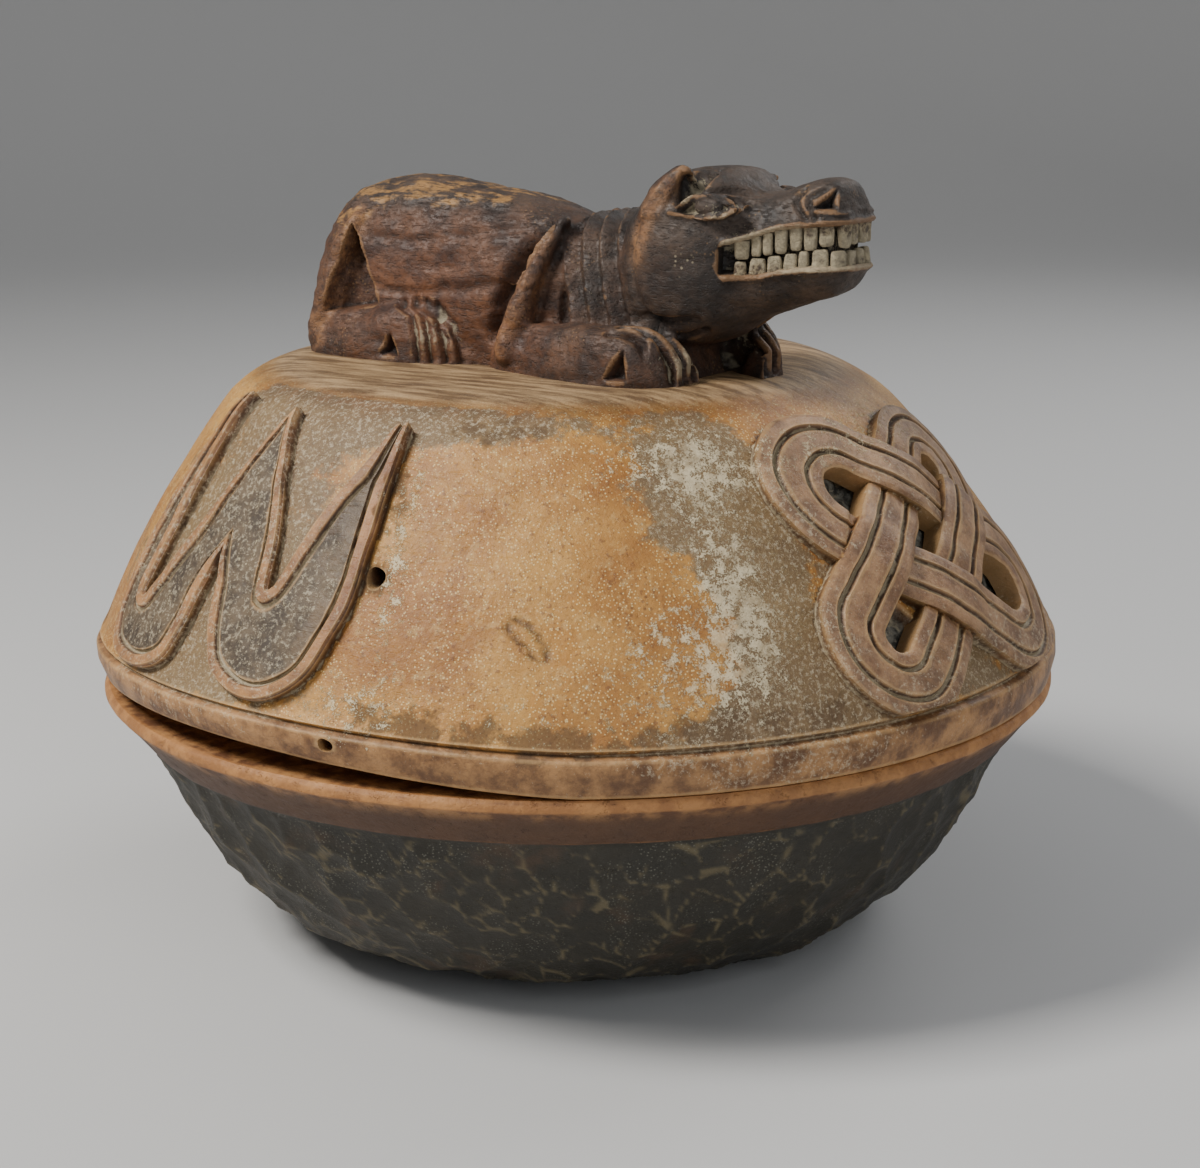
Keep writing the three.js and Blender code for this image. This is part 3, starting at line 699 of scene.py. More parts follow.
def bowl_profile():
    """Rows of radius and height from the floor inside, over the rim, to the foot."""
    inner = inside_of(BELLY, BOWL_WALL)[::4]
    floor = straight((0, BOWL_WALL), inner[0], 8)
    rim = through(inner[-1], [
        (LIP_OUTER - LIP_THICKNESS, LIP_TOP - 1, 5), (LIP_OUTER - LIP_THICKNESS + 1, LIP_TOP, 1),
        (LIP_OUTER - 1, LIP_TOP, 1), (LIP_OUTER, LIP_TOP - 1, 1), (LIP_OUTER, BOWL_HEIGHT, 1),
        (BOWL_RIM_RADIUS, BOWL_HEIGHT, 5), (RIDGE_RADIUS, 96, 2), (RIDGE_RADIUS, 94.2, 1),
        (175.7, 90.5, 3), (167, 79.6, 8), (165.4, 78.6, 1),
    ])
    foot = straight((FOOT_RADIUS, 0), (0, 0), 10)[:-1]
    profile = np.vstack([floor, inner[1:], rim, BELLY[::-1], foot])
    return profile, len(floor) + len(inner) - 1


# %% The bowl with its scoops
def turned_bowl():
    """The bowl, uneven inside, dressed with an adze below its band and flat underneath."""
    profile, rows_inside = bowl_profile()
    angles = np.linspace(-math.pi, math.pi, BOWL_COLUMNS, endpoint=False)
    turn, level, places = turned_grid(profile, angles)
    shape = turn.shape
    row = np.arange(len(profile))[:, None]
    inside = np.broadcast_to(row < rows_inside, shape)
    band = (level > BOWL_BAND_FOOT) & ~inside
    body = ~inside & ~band & (level > 0.2)
    warped = places * (1, 1, 0.8) + 2.5 * swell(places, 20, 2)[:, None]
    cuts, ridge = (found.reshape(shape) for found in scoops(warped, SCOOP_SIZE, 3.4, 71))
    gouges = scoops(places, 19, 2.4, 81)[0].reshape(shape)
    soft = rough(places, 45, 5).reshape(shape)
    edge = rough(places, 9, 9).reshape(shape)
    low = 1 - ease(level, BOWL_BAND_FOOT - 3, BOWL_BAND_FOOT)
    rise = np.where(body, 0.5 * soft + (cuts - 2.1) * low + 0.25 * edge, 0)
    rise = np.where(band, 0.35 * soft + 0.25 * edge, rise)
    rise = np.where(inside, 0.8 * soft - gouges, rise)
    rise = np.where(np.abs(level - BOWL_HEIGHT) < 0.5, 0.1 * edge - 0.1, rise)
    rise = np.where(level < 0.2, 0, rise)
    shift = rise[..., None] * aside(profile)[:, None, :]
    ridge = np.where(body, ridge * low * ease(cuts, 0.9, 1.8), 0)
    marks = {"inside": inside * 1.0, "ridge": ridge, "band": band * 1.0}
    return turned_piece("bowl_wood", profile, angles, shift, marks)


bowl = turned_bowl()
print("bowl", len(bowl.data.vertices), "points", len(bowl.data.polygons), "faces")

# %% [markdown]
# ## The animal
#
# The animal lies flat on its belly with its head raised, its ears laid back and its teeth
# bared. Sculpting it by hand would be quick but could not be measured. Instead the body,
# neck, head, ears and limbs are lofted from stations along the animal, dropped into one mesh
# and fused by a voxel Remesh, which rounds their joints as a carver's knife does.

# %% The animal's stations: how far along, half width, heights
FIGURE_OFFSET, FIGURE_TURN = -14, math.radians(-4)
BOXINESS = 2.6
TRUNK = [  # along, half width, top
    (-98, 24, 28), (-95, 29, 45), (-88, 32, 57), (-78, 33.5, 63), (-60, 34, 65.5),
    (-33, 32.5, 63), (-4, 31, 59), (20, 26, 54),
]
HEAD = [  # along, half width, bottom, top
    (46, 22, 15, 58), (52, 27.5, 11, 64), (60, 30, 10, 70), (71, 30.5, 11, 72.5),
    (82, 28, 15, 72.3), (90, 23.5, 20, 67), (97, 20, 23, 64.8), (107, 17.5, 26.5, 67.5),
    (117, 15.5, 29.5, 70), (124, 13, 33, 69), (128.5, 9, 39, 60),
]
HIND_FOOT = [  # along, sideways, half width, top
    (-94, 23, 8, 12), (-84, 27, 11, 16), (-62, 28.5, 12, 18), (-44, 28, 12.5, 21),
    (-31, 26.5, 11.5, 19.5), (-22, 24, 9, 13), (-17, 22, 6, 7),
]
FORE_ARM = [
    (-7, 23, 7, 12), (2, 25, 9.5, 16), (20, 28, 10.5, 17.5), (45, 31.5, 12, 19.5),
    (60, 30.5, 12.5, 20), (69, 27, 11, 16.5), (75.5, 23, 7, 9),
]
FAR_PAW_LEAD, FAR_PAW_INSET = 13, 13
NECK_START, NECK_FOLD, NECK_FOLDS, NECK_RAKE = 13, 8, 4, 0.36
SUNK = 2
HANDS = (-1, 1)
FAR_EAR = (7, 5)


# %% Lofting
def arch(along, half, top, sideways=0, rake=0, tuck=0, points=36):
    """A ring like an arch, flat underneath and sunk a little into the lid."""
    turn = np.linspace(0, math.pi, points)
    c, s = np.cos(turn), np.sin(turn)
    across = np.sign(c) * np.abs(c) ** (2 / BOXINESS)
    rise = np.abs(s) ** (2 / BOXINESS)
    width = half * (1 - tuck * (1 - rise) ** 2)
    level = -SUNK + (top + SUNK) * rise
    return np.stack([along + rake * top * (1 - rise), sideways + width * across, level], axis=-1)


def oval(along, half, bottom, top, points=44):
    """A rounded ring across the head."""
    turn = np.linspace(0, 2 * math.pi, points, endpoint=False)
    c, s = np.cos(turn), np.sin(turn)
    across = half * np.sign(c) * np.abs(c) ** (2 / BOXINESS)
    rise = np.sign(s) * np.abs(s) ** (2 / BOXINESS)
    level = (top + bottom) / 2 + (top - bottom) / 2 * rise
    return np.stack([along + 0 * across, across, level], axis=-1)


# %% Closed skins
def loft(rings):
    """Places and faces of a closed skin through rings of equal count."""
    rings = np.array(rings)
    rows, columns = rings.shape[:2]
    faces = [list(face) for face in quads(rows, columns)]
    faces += [list(range(columns)), list(range((rows - 1) * columns, rows * columns))]
    return rings.reshape(-1, 3), faces


def pebble(middle, size):
    """An egg with its middle and half sizes given."""
    rings = []
    for turn in np.linspace(0.12, math.pi - 0.12, 14):
        ring = oval(0, 1, -1, 1, 20) * (1, math.sin(turn), math.sin(turn))
        ring[:, 0] = math.cos(turn)
        rings.append(ring * size + middle)
    return loft(rings)


# %% Limbs and neck
def limb(stations, hand, lead=0, inset=0):
    """A leg that lies on the lid, led forward and set inwards along its length."""
    rows = flow(stations, 6)
    share = np.linspace(0, 1, len(rows))
    return loft([
        arch(along + lead * s, half, top, hand * (side - inset * s))
        for (along, side, half, top), s in zip(rows, share)
    ])


def neck():
    """A leaning neck whose skin swells into folds."""
    rings = []
    for along in np.arange(NECK_START - NECK_FOLD, NECK_START + NECK_FOLDS * NECK_FOLD + 6, 0.65):
        fold = (along - NECK_START) % NECK_FOLD / NECK_FOLD
        swollen = float(ease(fold, 0, 0.25)) * (1 - 0.75 * fold) if along > NECK_START else 0
        top = 48 + 0.15 * (along - NECK_START) + 8 * swollen
        rings.append(arch(along, 22 + 6 * swollen, top, rake=NECK_RAKE))
    return loft(rings)


def chain(stations, hand, stretch=(1, 1, 1)):
    """Overlapping pebbles along a limb: along, sideways, height and size."""
    return [
        pebble((along, hand * side, level), np.array(stretch) * size)
        for along, side, level, size in flow(stations, 9)
    ]


# %% Rows of pebbles: along, sideways, height and size
UPPER_ARM = [(17, 16, 52, 2.8), (13.5, 23.5, 42, 3.8), (8.5, 28.5, 26, 5), (4, 31.5, 8, 7)]
THIGH = [(-73, 24.5, 49, 4), (-79, 28, 36, 5.5), (-84, 30, 18, 6.5), (-87, 29, 6, 8)]
EAR_BAR = [(57, 24, 44, 4), (60, 24, 55, 5), (65, 23, 64, 5), (71, 21, 70, 4)]


# %% Fusing the lofts
VOXEL = 0.75 * MM


def fused_animal():
    """All the lofts in one mesh, with their joints rounded."""
    parts = [
        loft([arch(*row, tuck=0.16) for row in flow(TRUNK, 6)]),
        loft([oval(*row) for row in flow(HEAD, 6)]),
        neck(),
        limb(HIND_FOOT, 1), limb(HIND_FOOT, -1),
        limb(FORE_ARM, 1, FAR_PAW_LEAD, FAR_PAW_INSET), limb(FORE_ARM, -1),
        *[egg for hand in HANDS for egg in chain(UPPER_ARM, hand) + chain(THIGH, hand)],
    ]
    for hand, (lead, drop) in zip(HANDS, ((0, 0), FAR_EAR)):
        parts.append(pebble((83, hand * 23, 60.5), (11, 5, 4.5)))
        ear = [(along + lead, side, level - drop, size) for along, side, level, size in EAR_BAR]
        parts += chain(ear, hand, (1.2, 0.8, 1))
    places, faces = [], []
    for part_places, part_faces in parts:
        faces += [[i + len(places) for i in face] for face in part_faces]
        places += part_places.tolist()
    animal = make_object("lid_figure_wood", places, faces)
    apply_modifier(animal, "REMESH", mode="VOXEL", voxel_size=VOXEL)
    apply_modifier(animal, "SMOOTH", factor=0.5, iterations=6)
    return animal


# %% [markdown]
# ## Carving the animal
#
# A carver cuts along lines. So each detail here is a line or an outline drawn on the side view
# of the animal, or on its plan for the toes, and the skin near it is pushed in or raised.
# Boolean cutters would leave hard edges that no worn wood has, while this way each cut has a
# depth and a width of its own.

# %% Lines and outlines on a flat view
def line_distance(spots, line):
    """How far each spot lies from a line of straight stretches."""
    nearest = np.full(len(spots), 1e9)
    for start, end in zip(np.array(line[:-1], float), np.array(line[1:], float)):
        span = end - start
        share = np.clip(((spots - start) @ span) / (span @ span), 0, 1)
        away = spots - start - share[:, None] * span
        nearest = np.minimum(nearest, np.hypot(*away.T))
    return nearest


def depth_inside(spots, outline):
    """How deep each spot lies inside an outline, and less than 0 outside it."""
    inside = np.zeros(len(spots), bool)
    for (x0, y0), (x1, y1) in zip(outline, outline[1:] + outline[:1]):
        crosses = (spots[:, 1] > y0) != (spots[:, 1] > y1)
        where = x0 + (spots[:, 1] - y0) * (x1 - x0) / (y1 - y0 if y1 != y0 else 1)
        inside ^= crosses & (spots[:, 0] < where)
    return line_distance(spots, outline + outline[:1]) * np.where(inside, 1, -1)


def stroke(spots, line, width):
    """A mark that is 1 on a line and fades away at about this distance from it."""
    return np.exp(-((line_distance(spots, line) / width) ** 2))


# %% The lines of the face and body: along and up, in millimetres
MOUTH_X = [86, 93.4, 99.7, 106, 115, 127, 132]
UPPER_LIP = [46.8, 48.7, 50.8, 53, 54.2, 55, 55.4]
LOWER_LIP = [38.2, 38.3, 38.7, 40.2, 41.6, 42.1, 42.6]
MOUTH_CORNER, MOUTH_DEPTH = 88, 5.5
EAR = [(57, 55), (61, 63), (67, 70.5), (72, 74), (79, 74), (72, 68.5), (69.5, 63), (68, 56)]
EAR_HOLLOW = [(72.5, 71), (80, 72.5), (78.5, 65), (72.5, 59.5), (70.5, 62)]
SKULL_LINE = [(79.5, 73), (79, 65.8), (86, 65.4), (93.5, 64.4), (99.4, 65.6), (105, 67)]
EYE = [(72.5, 59), (78.5, 62.8), (86, 64.3), (91.5, 63.6), (95.5, 61.8), (92.5, 59.2),
       (84, 57.4), (77, 57.6)]
EYEBALL, EYEBALL_SIZE = (84.5, 60.6), (6.2, 3.2)
UPPER_LID = [(72.8, 60.2), (78.6, 63), (85.8, 64), (90.8, 62.6), (93.5, 60.4)]
LOWER_LID = [(70.5, 58), (77.2, 57.3), (83.7, 57), (90.1, 58), (93.5, 60)]
NOSTRIL = [(124, 67), (125.5, 60.8), (118, 60.8)]
WING_LINES = [
    [(120.5, 67), (115.5, 64), (117, 60), (119, 57.5)],
    [(112.5, 66), (111, 63), (113, 60), (116.5, 56.8)],
]
NOSTRIL_SILL = [(116.5, 59.4), (127, 59)]
HAUNCH_HOLLOW = [(-73, 47.5), (-83, 15), (-59.5, 19)]
ARM_HOLLOW = [(12, 50), (5, 38), (-2, 24), (-6, 12)]
FLANK_LINES = [
    [(-66, 44), (-45, 43), (-31, 45), (-9, 48), (14, 51.5)],
    [(-62, 26), (-45, 24), (-20, 27), (-4, 30)],
]
PAW_HOLLOWS = [[(53.5, 2), (60.5, 13), (62.5, 2)], [(-51, 2), (-46.5, 11), (-42, 2)]]
CHEEK_LINE = [(57, 56), (54.4, 46), (55, 35), (59, 25), (65, 18)]


# %% Toes: the fore paws' in plan, along and sideways, and the hind paws' on the side view
FORE_TOES = [
    [(52, 38), (66, 37)], [(54, 33), (74, 31)], [(55, 27.5), (79, 24.5)], [(56, 22), (79, 18.5)],
]
HIND_TOES = [
    [(-47, 21), (-39, 18), (-35, 10), (-34, 1)], [(-42, 22), (-34, 18), (-30, 10), (-29, 1)],
    [(-37, 22), (-29, 17), (-25, 9), (-24, 1)], [(-32, 21), (-24, 14), (-20, 7), (-19, 1)],
]
FAR_SHIFT = (FAR_PAW_LEAD, -FAR_PAW_INSET)


# %% Carving one side of the body
def side_view(places, normals, hand):
    """Places along and up, how far out they lie on this side, and how far they face it."""
    x, y, z = places.T
    return np.stack([x, z], axis=-1), hand * y, ease(hand * normals[:, 1], 0.05, 0.45)


def carve_body(places, normals, hand):
    """Grooves on the flank, the cheek's line, and the hollows at haunch, arm and paws."""
    side, across, facing = side_view(places, normals, hand)
    along, level = side.T
    on_flank = ease(across, 16, 22) * facing
    raised = -5 * stroke(side, ARM_HOLLOW, 3.6) * on_flank
    for line in FLANK_LINES:
        raised -= 1.1 * stroke(side, line, 2) * on_flank
    for outline in PAW_HOLLOWS:
        raised -= 4 * ease(depth_inside(side, outline), -0.4, 1.6) * ease(across, 30, 35)
    raised -= 1.2 * stroke(side, CHEEK_LINE, 2) * facing

    skin = 33.5 - 5 * ease(along, -80, -60)
    deep = 2.5 + 6.5 * ease(along + 0.36 * level, -76, -54)
    recess = ease(depth_inside(side, HAUNCH_HOLLOW), -0.4, 1) * ease(across, skin - 14, skin - 8)
    return raised[:, None] * normals - np.outer(deep * recess, (0, hand, 0))


# %% Carving one side of the head
def carve_head(places, normals, hand):
    """The ear, the line of the skull, the eye with its lids, and the nostril's wings."""
    side, across, facing = side_view(places, normals, hand)
    lead, drop = FAR_EAR if hand > 0 else (0, 0)
    ear_side = side + (-lead, drop)
    raised = 1.2 * ease(depth_inside(ear_side, EAR), -0.6, 1.6)
    raised -= 3.4 * ease(depth_inside(ear_side, EAR_HOLLOW), -0.3, 1.5)
    raised -= 1.6 * stroke(side, SKULL_LINE, 1)
    raised -= 2.6 * ease(depth_inside(side, EYE), -0.4, 1)
    ball = np.hypot(*((side - EYEBALL) / EYEBALL_SIZE).T)
    raised += 3 * np.sqrt(np.clip(1 - ball**2, 0, 1))
    for line, size in ((UPPER_LID, 1.5), (LOWER_LID, 1.3)):
        raised += size * stroke(side, line, 0.8)
    front = ease(across, 3, 7)
    raised -= 4 * ease(depth_inside(side, NOSTRIL), -0.3, 1.2) * front
    for line in WING_LINES:
        raised -= 1.5 * stroke(side, line, 1) * front
    raised += stroke(side, NOSTRIL_SILL, 0.8) * front
    return (raised * facing)[:, None] * normals


# %% Carving the toes of one side
def carve_toes(places, normals, hand):
    """Grooves between the toes, cut from above on the fore paws and from the side behind."""
    side, across, _ = side_view(places, normals, hand)
    along, level = side.T
    plan = np.stack([along, across], axis=-1)
    shift = FAR_SHIFT if hand > 0 else (0, 0)
    raised = np.zeros(len(places))
    for line in FORE_TOES:
        cut = stroke(plan, [np.add(spot, shift) for spot in line], 1.2)
        raised -= 3.6 * cut * (1 - ease(level, 21, 24)) * ease(level, -1, 2)
    for line in HIND_TOES:
        raised -= 2.4 * stroke(side, line, 1.2) * ease(across, 25, 31)
    return raised[:, None] * normals


# %% The open mouth
def carve_mouth(places, normals):
    """Sinks the skin between the lips all round the muzzle and raises the lips."""
    x, y, z = places.T
    upper, lower = np.interp(x, MOUTH_X, UPPER_LIP), np.interp(x, MOUTH_X, LOWER_LIP)
    between = np.minimum(upper - z, z - lower)
    open_mouth = ease(between, -0.3, 0.8) * ease(x, MOUTH_CORNER - 0.5, MOUTH_CORNER + 1.2)
    lips = np.exp(-(((between + 1.6) / 1.2) ** 2)) * ease(x, MOUTH_CORNER - 1, MOUTH_CORNER + 2)
    flat = normals * (1, 1, 0)
    flat /= np.linalg.norm(flat, axis=1, keepdims=True).clip(0.3)
    return flat * (1.3 * lips - MOUTH_DEPTH * open_mouth)[:, None]


# %% Gouge marks and unevenness
def carve_skin(places, normals):
    """Shallow knife facets all over, calmer on the head."""
    x = places[:, 0]
    calm = 1 - 0.55 * ease(x, 46, 60)
    long_cuts = scoops(places * (0.55, 1, 1), 9, 1.5, 91)[0]
    wrinkles = np.abs(rough(places * (0.7, 1, 1.3), 9, 97))
    uneven = 0.5 * rough(places, 16, 93) - 0.9 * calm * (long_cuts - 0.6) - 1.3 * calm * wrinkles
    return normals * (uneven * ease(places[:, 2], 0, 2))[:, None]


# %% [markdown]
# ## Teeth
#
# Two rows of squarish teeth stand in the open mouth, rooted on the lips and a little uneven
# in width, height and turn. Lines cut in one band would be simpler, but the gaps between the
# real teeth are dark and deep, so each tooth is a small block of its own.

# %% One tooth
TOOTH_WIDTH, TOOTH_THICKNESS, TOOTH_ROOT = 4.6, 3, 0.6


def tooth(middle, turn, size, seed):
    """A squarish tooth: its size is width, thickness and signed height from its root."""
    rings = []
    for level, share in ((0, 1.05), (0.35, 1), (0.8, 0.93), (0.95, 0.8), (1, 0.55)):
        corner = np.linspace(0, 2 * math.pi, 14, endpoint=False)
        u = np.sign(np.cos(corner)) * np.abs(np.cos(corner)) ** 0.6 * size[0] / 2 * share
        v = np.sign(np.sin(corner)) * np.abs(np.sin(corner)) ** 0.6 * size[1] / 2 * share
        c, s = math.cos(turn), math.sin(turn)
        ring = np.stack([c * u - s * v, s * u + c * v, level * size[2] + 0 * u], axis=-1)
        rings.append(ring + middle)
    places, faces = loft(rings)
    return places + 0.22 * swell(places, 2.1, seed)[:, None], faces


# %% Both rows
def muzzle_line():
    """The line of the teeth seen from above, from one corner of the mouth to the other."""
    side = [(along, wide - 2.6) for along, wide, *_ in HEAD if 88 < along < 128]
    near = [(along, -wide) for along, wide in side]
    return np.array([*near, (126.4, -7), (126.4, 7), *side[::-1]], float)


def teeth():
    """Two rows of uneven teeth round the muzzle, rooted on the lips."""
    line = muzzle_line()
    run = run_along(line)
    places, faces = [], []
    chance = np.random.default_rng(5)
    for jaw, lips, share in ((-1, UPPER_LIP, 0.56), (1, LOWER_LIP, 0.4)):
        at = 1.5
        while at < run[-1] - 1.5:
            width = TOOTH_WIDTH * chance.uniform(0.75, 1.25)
            x, y = [np.interp(at + width / 2, run, axis) for axis in line.T]
            ahead = [np.interp(at + width, run, axis) for axis in line.T]
            turn = math.atan2(ahead[1] - y, ahead[0] - x) + chance.uniform(-0.15, 0.15)
            root = np.interp(x, MOUTH_X, lips) - jaw * TOOTH_ROOT
            gape = np.interp(x, MOUTH_X, UPPER_LIP) - np.interp(x, MOUTH_X, LOWER_LIP)
            high = jaw * (gape * share + TOOTH_ROOT) * chance.uniform(0.85, 1.08)
            size = (width, TOOTH_THICKNESS, high)
            tooth_places, tooth_faces = tooth((x, y, root), turn, size, int(at * 7))
            faces += [[i + len(places) for i in face] for face in tooth_faces]
            places += tooth_places.tolist()
            at += width + chance.uniform(0.4, 1.1)
    print("teeth on a line of", round(run[-1]), "mm, with", len(faces), "faces")
    piece = make_object("teeth", places, faces, {"tooth": np.ones(len(places))})
    orient(piece)
    return piece


# %% Carving it all
def carved_animal():
    """The fused animal with its skin, face, toes and mouth carved, and its teeth set."""
    animal = fused_animal()
    mesh = animal.data
    places, normals = read_places(mesh), read_normals(mesh)
    write_places(mesh, places + carve_skin(places, normals))
    places, normals = read_places(mesh), read_normals(mesh)
    moved = carve_mouth(places, normals)
    for hand in HANDS:
        for carve in (carve_body, carve_head, carve_toes):
            moved += carve(places, normals, hand)
    write_places(mesh, places + moved)
    apply_modifier(animal, "SMOOTH", factor=0.4, iterations=1)
    apply_modifier(animal, "DECIMATE", ratio=0.55)
    write_mark(mesh, "tooth", np.zeros(len(mesh.vertices)))
    row = teeth()
    with bpy.context.temp_override(active_object=animal, selected_editable_objects=[animal, row]):
        bpy.ops.object.join()
    return animal


figure = carved_animal()
print("animal", len(figure.data.vertices), "points", len(figure.data.polygons), "faces")

# %% [markdown]
# ## Node helpers
#
# The finish of old wood is a pile of thin layers: grain, a dark film from hands, rubbed edges,
# dust that settles in hollows, and crust that flakes. It could be painted as a picture on an
# unwrapped mesh. Here each layer is a mask that lays one colour over another, worked out from
# the place on the wood, so it stays sharp close up and nothing has to be unwrapped.
#
# A socket knows the node tree that it belongs to, so most helpers find the tree by themselves.

# %% Putting nodes in a tree
def colour(red, green, blue):
    """A colour given as on a screen, from 0 to 255, in Blender's linear values."""
    def linear(value):
        value /= 255
        return value / 12.92 if value <= 0.04045 else ((value + 0.055) / 1.055) ** 2.4
    return (linear(red), linear(green), linear(blue), 1)


def is_socket(value):
    return isinstance(value, bpy.types.NodeSocket)


def feed(socket, value):
    """Links another socket to this one, or sets its number or colour."""
    if is_socket(value):
        socket.id_data.links.new(value, socket)
    else:
        socket.default_value = value


def put(tree, kind, values, **settings):
    """A new node with these settings, fed with these values."""
    node = tree.nodes.new("ShaderNode" + kind)
    for name, value in settings.items():
        setattr(node, name, value)
    for name, value in values.items():
        feed(node.inputs[name], value)
    return node


# %% Sums, steps and mixes
def maths(operation, *values):
    """The values joined from left to right by Math nodes."""
    tree = next(value.id_data for value in values if is_socket(value))
    result = values[0]
    for value in values[1:]:
        result = put(tree, "Math", {0: result, 1: value}, operation=operation).outputs[0]
    return result


def total(*values):
    return maths("ADD", *values)


def product(*values):
    return maths("MULTIPLY", *values)


def spread(value, low, high):
    """A soft step from 0 at low to 1 at high."""
    inputs = {"Value": value, "From Min": low, "From Max": high}
    step = put(value.id_data, "MapRange", inputs, interpolation_type="SMOOTHSTEP")
    return step.outputs["Result"]


def mix(share, first, second):
    """The first colour where the share is 0, and the second where it is 1."""
    tree = next(value.id_data for value in (share, first, second) if is_socket(value))
    return put(tree, "Mix", {0: share, 6: first, 7: second}, data_type="RGBA").outputs[2]


def lay(paint, mask, strength, over):
    """The paint with another colour laid over it where the mask shows."""
    return mix(product(mask, strength), paint, over)


# %% Noise
SOFT_NOISE, MID_NOISE, HARSH_NOISE = 0.58, 0.65, 0.7


def noise(place, size, detail=3, harshness=SOFT_NOISE, stretch=None):
    """Noise whose lumps are about this many millimetres across."""
    tree = place.id_data
    if stretch is not None:
        place = put(tree, "VectorMath", {0: place, 1: stretch}, operation="MULTIPLY").outputs[0]
    scale = maths("DIVIDE", 1, size) if is_socket(size) else 1 / size
    inputs = {"Vector": place, "Scale": scale, "Detail": detail, "Roughness": harshness}
    return put(tree, "TexNoise", inputs).outputs["Fac"]


def clouds(place, size, low, high, detail=5, harshness=MID_NOISE, stretch=None):
    """Noise as a mask, empty where it is under low and full where it is over high."""
    return spread(noise(place, size, detail, harshness, stretch), low, high)


# %% Making and placing a node group
def make_group(name, inputs, outputs, fill):
    """A node group with a place, numbers with defaults, and masks as outputs."""
    tree = bpy.data.node_groups.new(name, "ShaderNodeTree")
    tree.interface.new_socket("Place", in_out="INPUT", socket_type="NodeSocketVector")
    for label, value in inputs.items():
        socket = tree.interface.new_socket(label, in_out="INPUT", socket_type="NodeSocketFloat")
        socket.default_value = value
    for label in outputs:
        tree.interface.new_socket(label, in_out="OUTPUT", socket_type="NodeSocketFloat")
    given = tree.nodes.new("NodeGroupInput").outputs
    result = tree.nodes.new("NodeGroupOutput").inputs
    for label, socket in zip(outputs, fill(given)):
        feed(result[label], socket)
    return tree


def effect(group, place, **values):
    """The outputs of a shared group, placed in a material with values of its own."""
    return put(place.id_data, "Group", {"Place": place, **values}, node_tree=group).outputs


# %% [markdown]
# ## The layers that the woods share
#
# All three woods have blotches, flaking crust, dust, rubbed edges, specks and grain, only in
# other sizes and colours. So each of these is a node group, built once and placed in every
# material with values of its own. Every place is in millimetres, so a Size of 3 is 3 mm on
# the box.

# %% Blotches and flakes
def fill_blotches(given):
    """Patches that cover more of the surface as Density rises."""
    patches = noise(given["Place"], given["Size"], 5, 0.6)
    low = maths("SUBTRACT", 0.74, product(given["Density"], 0.46))
    return [spread(patches, low, total(low, given["Softness"]))]


def fill_flakes(given):
    """Crust that breaks off in small flakes, with its height in millimetres."""
    crusts = noise(given["Place"], given["Size"], 4, HARSH_NOISE)
    bits = noise(given["Place"], product(given["Size"], 0.16), 3, 0.6)
    both = total(product(crusts, 0.62), product(bits, 0.38))
    low = maths("SUBTRACT", 0.66, product(given["Density"], 0.26))
    mask = spread(both, low, total(low, 0.05))
    return [mask, product(mask, 0.22)]


BLOTCHES = make_group(
    "blotches", {"Size": 20, "Density": 0.5, "Softness": 0.1}, ["Mask"], fill_blotches)
FLAKES = make_group(
    "flaking_crust", {"Size": 8, "Density": 0.5}, ["Mask", "Height"], fill_flakes)


def blotches(place, size, density, softness=0.1):
    return effect(BLOTCHES, place, Size=size, Density=density, Softness=softness)["Mask"]


# %% Dust and rubbing
def fill_dust(given):
    """Pale dust that fills hollows."""
    patches = noise(given["Place"], 3.2, 4, HARSH_NOISE)
    held = product(given["Hollow"], total(patches, 0.35), given["Amount"])
    return [spread(held, 0.28, 0.62)]


def fill_rubbed(given):
    """Edges and high places that hands have rubbed bare. On the lid this mask also lays a painted
    highlight.
    """
    patches = noise(given["Place"], 6, 4, MID_NOISE)
    shown = product(given["Edge"], total(patches, 0.3), given["Amount"])
    return [spread(shown, 0.25, 0.7)]


DUST = make_group("settled_dust", {"Hollow": 0, "Amount": 1}, ["Mask"], fill_dust)
RUBBED = make_group("rubbed_edges", {"Edge": 0, "Amount": 1}, ["Mask"], fill_rubbed)


# %% Specks and grain
def fill_speckle(given):
    """Fine specks, with some regions fuller than others."""
    scale = maths("DIVIDE", 1, given["Size"])
    cells = put(scale.id_data, "TexVoronoi", {"Vector": given["Place"], "Scale": scale})
    specks = spread(cells.outputs["Distance"], 0.34, 0.16)
    region = noise(given["Place"], product(given["Size"], 14), 3)
    low = maths("SUBTRACT", 0.7, product(given["Density"], 0.4))
    return [product(specks, spread(region, low, total(low, 0.18)))]


def fill_grain(given):
    """Long streaks and short dark pores along the grain of the block."""
    streaks = noise(given["Place"], given["Size"], 4, 0.6, (0.16, 1, 1))
    fine = noise(given["Place"], product(given["Size"], 0.3), 3, 0.6, (0.12, 1, 1))
    return [streaks, spread(fine, 0.57, 0.7)]


SPECKLE = make_group("speckle", {"Size": 1, "Density": 0.5}, ["Mask"], fill_speckle)
GRAIN = make_group("grain", {"Size": 3}, ["Streaks", "Pores"], fill_grain)
print("shared layers", [group.name for group in bpy.data.node_groups])


def speckle(place, size, density):
    return effect(SPECKLE, place, Size=size, Density=density)["Mask"]


# %% Starting and ending a wood
def start_wood(name, marks):
    """A new material, the place on the object in millimetres, and the marks on its points."""
    material = bpy.data.materials.new(name)
    material.use_nodes = True
    tree = material.node_tree
    place = put(tree, "TexCoord", {}).outputs["Object"]
    place = put(tree, "VectorMath", {0: place, "Scale": 1 / MM}, operation="SCALE").outputs[0]
    mark = {}
    for label in marks.split():
        reader = put(tree, "Attribute", {}, attribute_type="GEOMETRY", attribute_name=label)
        mark[label] = reader.outputs["Fac"]
    return material, place, mark


